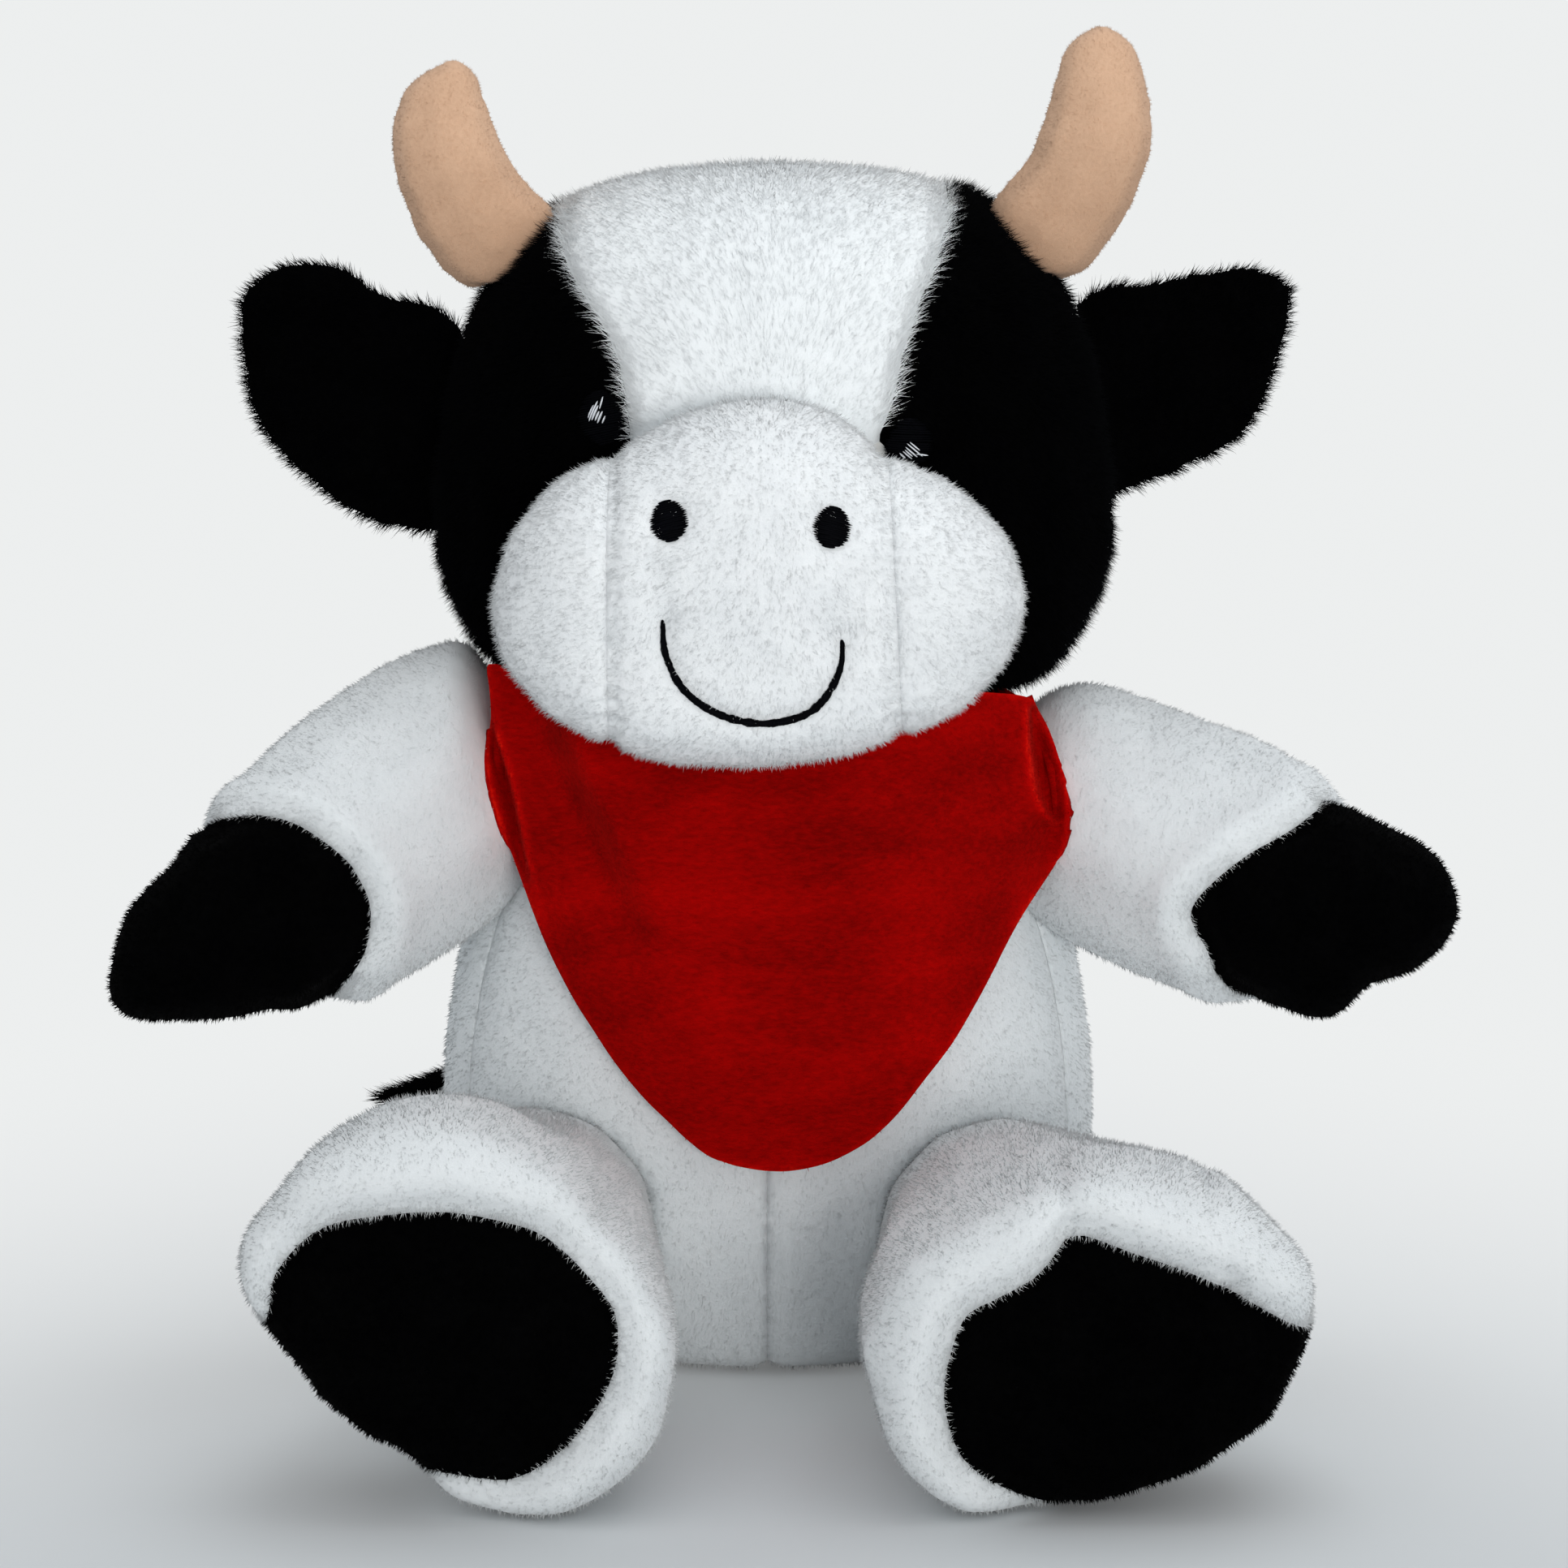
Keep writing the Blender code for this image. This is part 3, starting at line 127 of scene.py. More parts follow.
def ramp(add, tree, source, stops):
    """A colour ramp fed by a socket, with its stops as (place, colour)."""
    node = add("ShaderNodeValToRGB")
    tree.links.new(source, node.inputs["Fac"])
    elements = node.color_ramp.elements
    while len(elements) < len(stops):
        elements.new(0.5)
    for element, (place, colour) in zip(elements, stops):
        element.position = place
        element.color = (*colour, 1.0)
    return node.outputs["Color"]


# %% [markdown]
# The floor's colour is painted pale grey-blue near the camera and fades to white behind, which is painted
# shade towards the camera. Seen by the camera the paper also glows more the further it is from the cow:
# painted light, which leaves painted shade round the cow. Only its colour fades. The cow's shadow still falls
# on it. From behind and below the paper is clear, so it hides nothing.

# %% Floor sweep
bpy.ops.object.select_all(action="DESELECT")
bpy.ops.mesh.primitive_grid_add(x_subdivisions=2, y_subdivisions=48, size=2.0)
floor = bpy.context.object
floor.name = "floor"
sweep = np.array([v.co for v in floor.data.vertices])
bend = np.clip(sweep[:, 1] - 0.25, 0, None)
turn = np.clip(bend / 0.5, 0, math.pi / 2 * 0.94)
sweep[:, 0] *= 3.0
sweep[sweep[:, 1] < -0.99, 1] = -5.0
straight = bend - turn * 0.5
rise = 0.5 * (1 - np.cos(turn)) + straight * np.sin(turn)
reach = 0.5 * np.sin(turn) + straight * np.cos(turn)
sweep[:, 1] = np.minimum(sweep[:, 1], 0.25) + reach
sweep[:, 2] = rise
floor.data.vertices.foreach_set("co", sweep.ravel())
floor.data.shade_smooth()
paper, paper_tree, paper_shader, add = new_material("paper_sweep")
place = add("ShaderNodeTexCoord")
split = add("ShaderNodeSeparateXYZ")
paper_tree.links.new(place.outputs["Object"], split.inputs["Vector"])
# The colour ramp below is painted shade: the white paper is made darker and bluer towards the camera.
depth = add("ShaderNodeMapRange", From_Min=-0.30, From_Max=0.22)
paper_tree.links.new(split.outputs["Y"], depth.inputs["Value"])
tint = ramp(add, paper_tree, depth.outputs["Result"], ((0.0, (0.64, 0.67, 0.685)), (1.0, (0.84, 0.85, 0.86))))
paper_tree.links.new(tint, paper_shader.inputs["Base Color"])
paper_shader.inputs["Roughness"].default_value = 0.95
paper_shader.inputs["Specular IOR Level"].default_value = 0.1
# The glow is painted light seen by the camera. It grows with the distance from the cow, so the paper round
# the cow stays darker as painted shade.
painted_glow = add("ShaderNodeEmission", Color=(0.845, 0.860, 0.860, 1.0))
mixed = add("ShaderNodeMixShader")
rays = add("ShaderNodeLightPath")
aside = add("ShaderNodeMath", operation="ABSOLUTE")
paper_tree.links.new(split.outputs["X"], aside.inputs[0])
away = add("ShaderNodeMath", operation="MULTIPLY_ADD")
away.inputs[1].default_value = 0.8
paper_tree.links.new(aside.outputs["Value"], away.inputs[0])
paper_tree.links.new(split.outputs["Y"], away.inputs[2])
far = add("ShaderNodeMapRange", From_Min=-0.14, From_Max=0.34, interpolation_type="SMOOTHSTEP")
paper_tree.links.new(away.outputs["Value"], far.inputs["Value"])
seen = add("ShaderNodeMath", operation="MULTIPLY")
paper_tree.links.new(far.outputs["Result"], seen.inputs[0])
paper_tree.links.new(rays.outputs["Is Camera Ray"], seen.inputs[1])
paper_tree.links.new(seen.outputs["Value"], mixed.inputs["Fac"])
paper_tree.links.new(paper_shader.outputs["BSDF"], mixed.inputs[1])
paper_tree.links.new(painted_glow.outputs["Emission"], mixed.inputs[2])
clear = add("ShaderNodeBsdfTransparent")
one_sided = add("ShaderNodeMixShader")
paper_tree.links.new(add("ShaderNodeNewGeometry").outputs["Backfacing"], one_sided.inputs["Fac"])
paper_tree.links.new(mixed.outputs["Shader"], one_sided.inputs[1])
paper_tree.links.new(clear.outputs["BSDF"], one_sided.inputs[2])
paper_tree.links.new(one_sided.outputs["Shader"], paper_tree.nodes["Material Output"].inputs["Surface"])
floor.data.materials.append(paper)
print("floor reaches", [round(float(c), 2) for c in sweep.max(0)])

# %% [markdown]
# ## Stuffed forms
# Each stuffed form on the real toy is several panels sewn into one bag and filled with fibre.
# It is made the same way here: the CAD panels and their filling become one closed skin, and a voxel remesh
# gives it even small faces. Cloth pressure then swells the body, the head and the muzzle between their seams,
# which are held. The other forms are smoothed, and moves in code shape them.


# %% Helpers for points and selection
def points_of(obj):
    co = np.empty(len(obj.data.vertices) * 3)
    obj.data.vertices.foreach_get("co", co)
    return co.reshape(-1, 3)


def set_points(obj, co):
    obj.data.vertices.foreach_set("co", np.asarray(co, float).ravel())
    obj.data.update()


def normals_of(obj):
    normals = np.empty(len(obj.data.vertices) * 3, np.float32)
    obj.data.vertex_normals.foreach_get("vector", normals)
    return normals.reshape(-1, 3).astype(float)


def only(obj):
    bpy.ops.object.select_all(action="DESELECT")
    obj.select_set(True)
    bpy.context.view_layer.objects.active = obj


def apply_all(obj):
    only(obj)
    for modifier in list(obj.modifiers):
        bpy.ops.object.modifier_apply(modifier=modifier.name)


def triangles_of(obj):
    obj.data.calc_loop_triangles()
    tris = np.empty(len(obj.data.loop_triangles) * 3, np.int32)
    obj.data.loop_triangles.foreach_get("vertices", tris)
    return tris.reshape(-1, 3)


# %% One closed skin from several CAD nodes
def joined_copy(name, nodes):
    """A new object with the merged meshes of these CAD nodes."""
    bm = bmesh.new()
    for node in nodes:
        bm.from_mesh(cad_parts[node].data)
    bmesh.ops.remove_doubles(bm, verts=bm.verts, dist=0.00002)
    mesh = bpy.data.meshes.new(name)
    bm.to_mesh(mesh)
    bm.free()
    obj = bpy.data.objects.new(name, mesh)
    bpy.context.scene.collection.objects.link(obj)
    return obj


def outer_shell(obj):
    """Keeps the largest separate shell of a mesh and removes what is inside it."""
    only(obj)
    bpy.ops.object.mode_set(mode="EDIT")
    bpy.ops.mesh.separate(type="LOOSE")
    bpy.ops.object.mode_set(mode="OBJECT")
    found = list(bpy.context.selected_objects)
    largest = max(found, key=lambda o: np.prod(np.ptp(points_of(o), axis=0) + 1e-6))
    name = obj.name
    for other in found:
        if other != largest:
            bpy.data.meshes.remove(other.data)
    largest.name = name
    return largest


def evened(co, edges, rounds, give=0.5, take=-0.53):
    """Smooths points along edges without shrinking the form."""
    co = co.copy()
    count = np.bincount(edges.ravel(), minlength=len(co)).astype(float)
    for _ in range(rounds):
        for factor in (give, take):
            total = np.empty_like(co)
            for axis in range(3):
                column = co[:, axis]
                total[:, axis] = np.bincount(edges[:, 0], column[edges[:, 1]], len(co))
                total[:, axis] += np.bincount(edges[:, 1], column[edges[:, 0]], len(co))
            co += factor * (total / count[:, None] - co)
    return co


def edges_of(obj):
    edges = np.empty(len(obj.data.edges) * 2, np.int32)
    obj.data.edges.foreach_get("vertices", edges)
    return edges.reshape(-1, 2)


def one_skin(name, nodes, voxel, rounds):
    """The closed outer skin of some CAD nodes, in even faces, with its facets smoothed out."""
    obj = joined_copy(name, nodes)
    remesh = obj.modifiers.new("remesh", "REMESH")
    remesh.mode = "VOXEL"
    remesh.voxel_size = voxel
    apply_all(obj)
    obj = outer_shell(obj)
    set_points(obj, evened(points_of(obj), edges_of(obj), rounds))
    print(name, "skin has", len(obj.data.polygons), "faces")
    return obj


# %% Swell a skin between its held seams
def stuffed(obj, held, pressure, cap):
    """Cloth pressure from inside. held is 1 at points that stay, and cap is the furthest a point may move."""
    before = points_of(obj)
    group = obj.vertex_groups.new(name="held")
    for index, weight in enumerate(held):
        if weight > 0.01:
            group.add([index], float(weight), "REPLACE")
    only(obj)
    cloth = obj.modifiers.new("cloth", "CLOTH")
    settings = cloth.settings
    settings.vertex_group_mass = "held"
    settings.use_pressure = True
    settings.uniform_pressure_force = pressure
    settings.effector_weights.gravity = 0.0
    settings.tension_stiffness = 8.0
    settings.compression_stiffness = 8.0
    settings.bending_stiffness = 0.3
    cloth.collision_settings.use_collision = False
    cloth.collision_settings.use_self_collision = False
    cloth.point_cache.frame_start = 1
    cloth.point_cache.frame_end = 20
    for step in range(1, 21):
        bpy.context.scene.frame_set(step)
    bpy.ops.object.modifier_apply(modifier="cloth")
    bpy.context.scene.frame_set(1)
    move = points_of(obj) - before
    far = np.linalg.norm(move, axis=1)
    print(obj.name, "swelled by up to", round(float(far.max()) * 1000, 2), "mm, mean",
        round(float(far.mean()) * 1000, 2))
    move *= np.minimum(1.0, cap / np.maximum(far, 1e-9))[:, None]
    set_points(obj, before + move)
    obj.vertex_groups.clear()
    return obj

# %% [markdown]
# The body is four panels: two belly panels with a seam down the middle, the back, and a round seat.
# The seams are pulled in by the thread and the panels belly out between them.


# %% Measure how near points are to a seam
def hold_near(distance, width):
    """1 on a seam, falling to 0 a width away."""
    return np.clip(1.0 - np.abs(distance) / width, 0.0, 1.0)


def valley(distance, width):
    """A smooth dip across a seam."""
    return np.exp(-((distance / width) ** 2))


def sink(obj, amount):
    """Moves each point inwards along its normal."""
    set_points(obj, points_of(obj) - normals_of(obj) * np.asarray(amount)[:, None])


def rounded_up(obj):
    """One level of subdivision, so that seams and folds have faces to bend."""
    smooth = obj.modifiers.new("smooth", "SUBSURF")
    smooth.levels = 1
    smooth.render_levels = 1
    apply_all(obj)
    return obj


# %% [markdown]
# The photo fixes the outlines seen from the front. A form is fitted to such an outline by pushing its points
# sideways and up from the outline's middle, which leaves its depth as the CAD has it.


# %% Outlines seen from the front
def rounded_loop(corners, count=96):
    """A smooth closed loop through corners, by a Catmull-Rom curve."""
    p = np.array(corners)
    t = np.linspace(0, len(p), count, endpoint=False)
    k = t.astype(int)
    u = (t - k)[:, None]
    a, b, c, d = (p[(k + shift) % len(p)] for shift in (-1, 0, 1, 2))
    return 0.5 * (2 * b + (c - a) * u + (2 * a - 5 * b + 4 * c - d) * u**2
                            + (3 * b - a - 3 * c + d) * u**3)


def inside_loop(loop, x, z):
    """Signed distance from a closed loop in the x-z plane, above 0 inside."""
    a, b = loop, np.roll(loop, -1, axis=0)
    p = np.stack([x, z], axis=1)
    best = np.full(len(p), 1.0)
    inside = np.zeros(len(p), bool)
    for start, end in zip(a, b):
        line = end - start
        t = np.clip(((p - start) @ line) / max(line @ line, 1e-12), 0, 1)
        best = np.minimum(best, np.linalg.norm(p - (start + t[:, None] * line), axis=1))
        crosses = (start[1] > p[:, 1]) != (end[1] > p[:, 1])
        at = start[0] + (p[:, 1] - start[1]) / (end[1] - start[1] if end[1] != start[1] else 1e-12) * line[0]
        inside ^= crosses & (p[:, 0] < at)
    return np.where(inside, best, -best)


def fitted(obj, weight, outline, amount=1.0, margin=0.0):
    """Pushes points in x and z so that the outline seen from the front follows a loop.
    weight says where it works."""
    co = points_of(obj)
    loop = rounded_loop(outline)
    middle = loop.mean(axis=0)

    def polar(x, z):
        return np.arctan2(z - middle[1], x - middle[0]), np.hypot(x - middle[0], z - middle[1])

    bins = 48
    goal_angle, goal_radius = polar(loop[:, 0], loop[:, 1])
    order = np.argsort(goal_angle)
    grid = (np.arange(bins) + 0.5) / bins * 2 * math.pi - math.pi
    goal = np.interp(grid, goal_angle[order], goal_radius[order] - margin, period=2 * math.pi)
    angle, radius = polar(co[:, 0], co[:, 2])
    works = weight > 0.5
    have = np.array([
        np.max(radius[works & (np.abs(np.angle(np.exp(1j * (angle - g)))) < math.pi / bins * 1.6)],
            initial=0.0)
        for g in grid
    ])
    have = np.where(have > 0, have, goal)
    scale = np.clip(goal / have, 0.7, 1.4)
    scale = (scale + np.roll(scale, 1) + np.roll(scale, -1)) / 3
    factor = 1 + (np.interp(angle, grid, scale, period=2 * math.pi) - 1) * weight * amount
    co[:, 0] = middle[0] + (co[:, 0] - middle[0]) * factor
    co[:, 2] = middle[1] + (co[:, 2] - middle[1]) * factor
    set_points(obj, co)
    print(obj.name, "outline scaled by", scale.min().round(2), "to", scale.max().round(2))


def smoothstep(value, low, high):
    t = np.clip((value - low) / (high - low), 0, 1)
    return t * t * (3 - 2 * t)


# %% Where the photo shows a point
def seen(px, py, tree):
    """The place on a surface that the photo shows at a pixel of its 1932 x 1932."""
    across = (px - 966.0) / 1932.0 * 36.0 / 122.8
    up = (966.0 - py) / 1932.0 * 36.0 / 122.8
    direction = camera.rotation_euler.to_matrix() @ Vector((across, up, -1.0))
    place, normal = tree.ray_cast(camera.location, direction.normalized())[:2]
    if place is None:
        raise ValueError(f"nothing is seen at {px}, {py}")
    return place, normal


def as_seen(co):
    """Where the photo shows points, as pixels across and up, scaled to about metres at the cow."""
    turn = np.array(camera.rotation_euler.to_matrix())
    local = (np.asarray(co) - np.array(camera.location)) @ turn
    return local[:, :2] / -local[:, 2:] * 122.8 / 36.0 * 1932.0 * PIXEL


def on_plane(px, py, y):
    """The place that the photo shows at a pixel, at a given depth."""
    across = (px - 966.0) / 1932.0 * 36.0 / 122.8
    up = (966.0 - py) / 1932.0 * 36.0 / 122.8
    direction = camera.rotation_euler.to_matrix() @ Vector((across, up, -1.0))
    return camera.location + direction * ((y - camera.location.y) / direction.y)


PIXEL = 0.000139


def tree_of(obj):
    return BVHTree.FromPolygons([tuple(p) for p in points_of(obj)],
        [tuple(int(i) for i in t) for t in triangles_of(obj)])


# %% Body skin
SIDE_SEAM_Y = -0.020
SEAT_RADIUS = 0.030
BODY_NODES = ["belly_panel_left", "belly_panel_right", "body_back_panel", "seat_panel", "body_filling"]
body = one_skin("body_skin", BODY_NODES, 0.0028, 12)


def body_seams(co):
    """Distance to the belly seam, the two side seams and the seat's ring."""
    belly = np.where(co[:, 1] < SIDE_SEAM_Y, np.abs(co[:, 0]), 1.0)
    side = np.abs(co[:, 1] - SIDE_SEAM_Y)
    seat = np.where(co[:, 2] < 0.012, np.abs(np.hypot(co[:, 0], co[:, 1]) - SEAT_RADIUS), 1.0)
    return belly, side, seat


co = points_of(body)
held = np.maximum.reduce([hold_near(d, 0.006) for d in body_seams(co)])
held = np.maximum(held, np.where((co[:, 2] < 0.003) | (co[:, 2] > 0.102), 1.0, 0.0))
stuffed(body, held, 90.0, 0.0022)
rounded_up(body)
co = points_of(body)
belly, side, seat = body_seams(co)
ripple = 0.75 + 0.25 * np.sin(co[:, 2] * 1050.0 + 3.0 * np.sin(co[:, 2] * 170.0)) ** 2
sink(body, 0.0013 * valley(belly, 0.0016) * ripple + 0.0007 * valley(side, 0.0034)
     + 0.0008 * valley(seat, 0.002))

# %% [markdown]
# The head is a white blaze, two black sides and a back. The muzzle is a bag of its own, in three panels.

# %% Head skin
HEAD_BACK_SEAM_Y = 0.014
HEAD_NODES = ["face_blaze", "head_side_left", "head_side_right", "head_back_panel", "head_filling"]
head = one_skin("head_skin", HEAD_NODES, 0.0028, 12)
MUZZLE_HEIGHT = 0.1390
BLAZE_PIXELS = {
    "right": ((692, 272), (692, 300), (698, 326), (711, 352), (732, 384), (750, 416), (763, 448), (771, 483),
        (776, 532)),
    "left": ((1168, 272), (1158, 306), (1147, 342), (1133, 372), (1124, 405), (1111, 438), (1104, 480),
        (1096, 508), (1084, 536)),
}
head_tree = tree_of(head)
blaze_lines = {side: np.array([seen(*pixel, head_tree)[0] for pixel in line[::-1]])
               for side, line in BLAZE_PIXELS.items()}
print("blaze at the crown", blaze_lines["right"][-1].round(4), blaze_lines["left"][-1].round(4))


def blaze_edge(co):
    """How far inside the blaze each point is, measured sideways between its two edges in the photo."""
    right, left = (np.interp(co[:, 2], blaze_lines[side][:, 2], blaze_lines[side][:, 0])
                   for side in ("right", "left"))
    return np.minimum(left - co[:, 0], co[:, 0] - right)


co = points_of(head)
edge = np.where(co[:, 1] < HEAD_BACK_SEAM_Y, blaze_edge(co), 1.0)
held = np.maximum(hold_near(edge, 0.006), hold_near(co[:, 1] - HEAD_BACK_SEAM_Y, 0.005))
stuffed(head, held, 90.0, 0.0022)
rounded_up(head)
co = points_of(head)
edge = np.where(co[:, 1] < HEAD_BACK_SEAM_Y, blaze_edge(co), 1.0)
JAW = ((0.1120, 0.0455), (0.1157, 0.0486), (0.1187, 0.0503), (0.1224, 0.0531), (0.1250, 0.0549),
    (0.1277, 0.0563), (0.1310, 0.0573), (0.1360, 0.0579), (0.1420, 0.0579), (0.1500, 0.0576))
slices = np.linspace(co[:, 2].min() + 0.001, 0.150, 15)
reach = np.array([np.abs(co[np.abs(co[:, 2] - z) < 0.002][:, 0] - 0.0012).max() for z in slices])
wanted = np.interp(slices, [j[0] for j in JAW], [j[1] for j in JAW])
wider = 1 + (np.interp(co[:, 2], slices, np.clip(wanted / reach, 1.0, 1.4)) - 1) * (
    1 - smoothstep(co[:, 2], 0.148, 0.160))
co[:, 0] = 0.0012 + (co[:, 0] - 0.0012) * wider
JAW_DROPS = ((1, 0.0052, 0.046, 0.058), (-1, 0.0038, 0.046, 0.057))
for sign, amount, full, still in JAW_DROPS:
    here = smoothstep(sign * co[:, 0], 0.020, 0.032) * (1 - smoothstep(sign * co[:, 0], full, still))
    co[:, 2] -= amount * here * (1 - smoothstep(co[:, 2], 0.116, 0.134)) * (
        1 - smoothstep(co[:, 1], 0.004, 0.020))
set_points(head, evened(co, edges_of(head), 4))
co = points_of(head)
print("jaw widened by up to", round(float(wider.max()), 2))
edge = np.where(co[:, 1] < HEAD_BACK_SEAM_Y, blaze_edge(co), 1.0)
sink(head, 0.0009 * valley(edge, 0.002) + 0.0009 * valley(co[:, 1] - HEAD_BACK_SEAM_Y, 0.002))

# %% Muzzle skin
MUZZLE_NODES = ["muzzle_centre_panel", "muzzle_cheek_left", "muzzle_cheek_right", "muzzle_filling"]
muzzle = one_skin("muzzle_skin", MUZZLE_NODES, 0.0022, 14)


def muzzle_seams(co):
    """Signed distance outside each of the two muzzle seams. The photo shows the left one leaning outwards."""
    left = co[:, 0] - (0.0205 - 0.05 * (co[:, 2] - MUZZLE_HEIGHT))
    right = -co[:, 0] - 0.0250
    return left, right


co = points_of(muzzle)
left, right = muzzle_seams(co)
held = np.maximum(hold_near(left, 0.004), hold_near(right, 0.004))
stuffed(muzzle, held, 60.0, 0.0018)
rounded_up(muzzle)
MUZZLE_OUTLINE = (
    (-0.0005, 0.1702), (-0.0124, 0.1682), (-0.0232, 0.1635), (-0.0334, 0.1584), (-0.0402, 0.1525),
    (-0.0446, 0.1405), (-0.0437, 0.1299), (-0.0386, 0.1218), (-0.0268, 0.1132), (-0.0124, 0.1113),
    (0.0073, 0.1119), (0.0231, 0.1148), (0.0336, 0.1209), (0.0402, 0.1299), (0.0425, 0.1389),
    (0.0402, 0.1480), (0.0330, 0.1556), (0.0220, 0.1612), (0.0112, 0.1680),
)
fitted(muzzle, np.ones(len(muzzle.data.vertices)), MUZZLE_OUTLINE, 1.0, 0.0006)
co = points_of(muzzle)
co[:, 1] -= 0.0065 * smoothstep(-co[:, 2], -0.134, -0.114) * smoothstep(-co[:, 1], 0.044, 0.066)
set_points(muzzle, co)
set_points(muzzle, evened(points_of(muzzle), edges_of(muzzle), 4))

# %% [markdown]
# Thread pulls the muzzle's fabric down: along both seams, round the nostrils and along the smile,
# with a crease that runs up from each end of the smile.

# %% Seams and stitches pull the muzzle in
muzzle_tree = tree_of(muzzle)
SMILE_PIXELS = ((816, 768), (817, 790), (822, 812), (836, 842), (860, 866), (895, 884), (940, 892),
    (985, 884), (1012, 866), (1030, 838), (1038, 812), (1038, 788))
NOSTRIL_PIXELS = {"right": (822, 640), "left": (1028, 647)}
smile_line = [seen(*pixel, muzzle_tree)[0] for pixel in SMILE_PIXELS]
nostrils = {side: seen(*pixel, muzzle_tree) for side, pixel in NOSTRIL_PIXELS.items()}
creases = [
    [seen(x, y, muzzle_tree)[0] for x, y in line]
    for line in (((815, 762), (811, 735), (806, 700)), ((1038, 780), (1048, 745), (1055, 715)))
]


def near_line(co, line):
    """Distance from points to a line through several places."""
    best = np.full(len(co), 1.0)
    for a, b in zip(line[:-1], line[1:]):
        a, b = np.array(a), np.array(b)
        t = np.clip(((co - a) @ (b - a)) / max((b - a) @ (b - a), 1e-12), 0, 1)
        best = np.minimum(best, np.linalg.norm(co - (a + t[:, None] * (b - a)), axis=1))
    return best


co = points_of(muzzle)
left, right = muzzle_seams(co)
pull = 0.0011 * (valley(left, 0.0016) + valley(right, 0.0016)) + 0.0006 * (
    valley(left, 0.006) + valley(right, 0.006))
pucker = 0.5 + 0.5 * np.sin(co[:, 2] * 1500.0 + 4.0 * np.sin(co[:, 2] * 300.0))
pull += 0.0005 * pucker * (valley(left, 0.0035) + valley(right, 0.0035))
pull += 0.0011 * valley(near_line(co, smile_line), 0.0020) + 0.0007 * valley(near_line(co, smile_line), 0.006)
for place, _ in nostrils.values():
    pull += 0.0016 * valley(np.linalg.norm(co - np.array(place), axis=1), 0.0050)
for line in creases:
    pull += 0.0011 * valley(near_line(co, line), 0.0028)
sink(muzzle, pull)
print("muzzle box", points_of(muzzle).min(0).round(4), points_of(muzzle).max(0).round(4))

# %% Arms, legs, horns, ears and tail
arms, legs, horns, ears = {}, {}, {}, {}
for side in ("left", "right"):
    arms[side] = one_skin(f"arm_skin_{side}", [f"arm_sleeve_{side}", f"hoof_{side}", f"arm_filling_{side}"],
        0.0024, 12)
    legs[side] = one_skin(f"leg_skin_{side}", [f"leg_sleeve_{side}", f"sole_{side}", f"leg_filling_{side}"],
        0.0026, 12)
    horns[side] = one_skin(f"horn_skin_{side}", [f"horn_sleeve_{side}", f"horn_filling_{side}"], 0.0014, 30)
    ears[side] = one_skin(f"ear_skin_{side}", [f"ear_front_{side}", f"ear_back_{side}"], 0.0014, 14)
tail = one_skin("tail_skin", ["tail_tube", "tail_tuft"], 0.0012, 10)

# %% [markdown]
# ## Cut panels out of a skin
# A seam on the toy is where one fabric stops and the next starts. A field says how far inside a panel each
# point is. Points next to the border slide onto it, so the two panels meet in one clean line. Solidify then
# gives the fabric its thickness.


# %% Cut one panel
def panel(source, name, inside):
    """The part of a skin where inside(points) is above zero, as a new open sheet of triangles."""
    co = points_of(source)
    tris = triangles_of(source)
    field = inside(co)
    first = field.copy()
    edges = np.unique(np.sort(np.concatenate([tris[:, [0, 1]], tris[:, [1, 2]], tris[:, [2, 0]]]), axis=1),
        axis=0)
    for _ in range(4):
        a, b = edges[field[edges[:, 0]] * field[edges[:, 1]] < 0].T
        if not len(a):
            break
        share = (field[a] / (field[a] - field[b]))[:, None]
        crossing = co[a] + (co[b] - co[a]) * share
        near = np.where(np.abs(field[a]) < np.abs(field[b]), a, b)
        co[near] = crossing
        field[near] = 0.0
    corner = field[tris]
    flat = (corner == 0.0).all(axis=1)
    kept = np.where(flat, first[tris].mean(axis=1) > 0, (corner >= 0.0).all(axis=1))
    used, faces = np.unique(tris[kept], return_inverse=True)
    mesh = bpy.data.meshes.new(name)
    mesh.from_pydata(co[used], [], faces.reshape(-1, 3))
    mesh.validate()
    obj = bpy.data.objects.new(name, mesh)
    bpy.context.scene.collection.objects.link(obj)
    return obj


def both(*fields):
    """Inside all of several fields."""
    return lambda co: np.minimum.reduce([field(co) for field in fields])


def outside(field):
    return lambda co: -field(co)


# %% [markdown]
# ## Pile
# Plush is a woven back with fibres standing out of it. A bump map can't give its fringe against the light,
# so each pile here is real fibres: thin closed three-sided spikes, rooted on the fabric and leaning with the
# nap. Particle hair would look finer, but it isn't a mesh. Neighbouring tips are drawn together, as fur
# clumps. The fibres take most of their shading direction from the fabric below them, so that the pile looks
# soft.


# %% Points on a sheet
def scattered(co, normals, tris, density, rng):
    """Random places on triangles, with the surface normal there. density is per square millimetre."""
    a, b, c = (co[tris[:, k]] for k in range(3))
    area = np.linalg.norm(np.cross(b - a, c - a), axis=1) / 2
    count = int(area.sum() * 1e6 * density)
    pick = rng.choice(len(tris), count, p=area / area.sum())
    u, v = rng.random((2, count, 1))
    u, v = np.where(u + v > 1, 1 - u, u), np.where(u + v > 1, 1 - v, v)
    w = 1 - u - v
    place = a[pick] * w + b[pick] * u + c[pick] * v
    normal = sum(normals[tris[pick, k]] * share for k, share in enumerate((w, u, v)))
    return place, normal / np.linalg.norm(normal, axis=1, keepdims=True)


def unit(vectors):
    return vectors / np.maximum(np.linalg.norm(vectors, axis=1, keepdims=True), 1e-12)


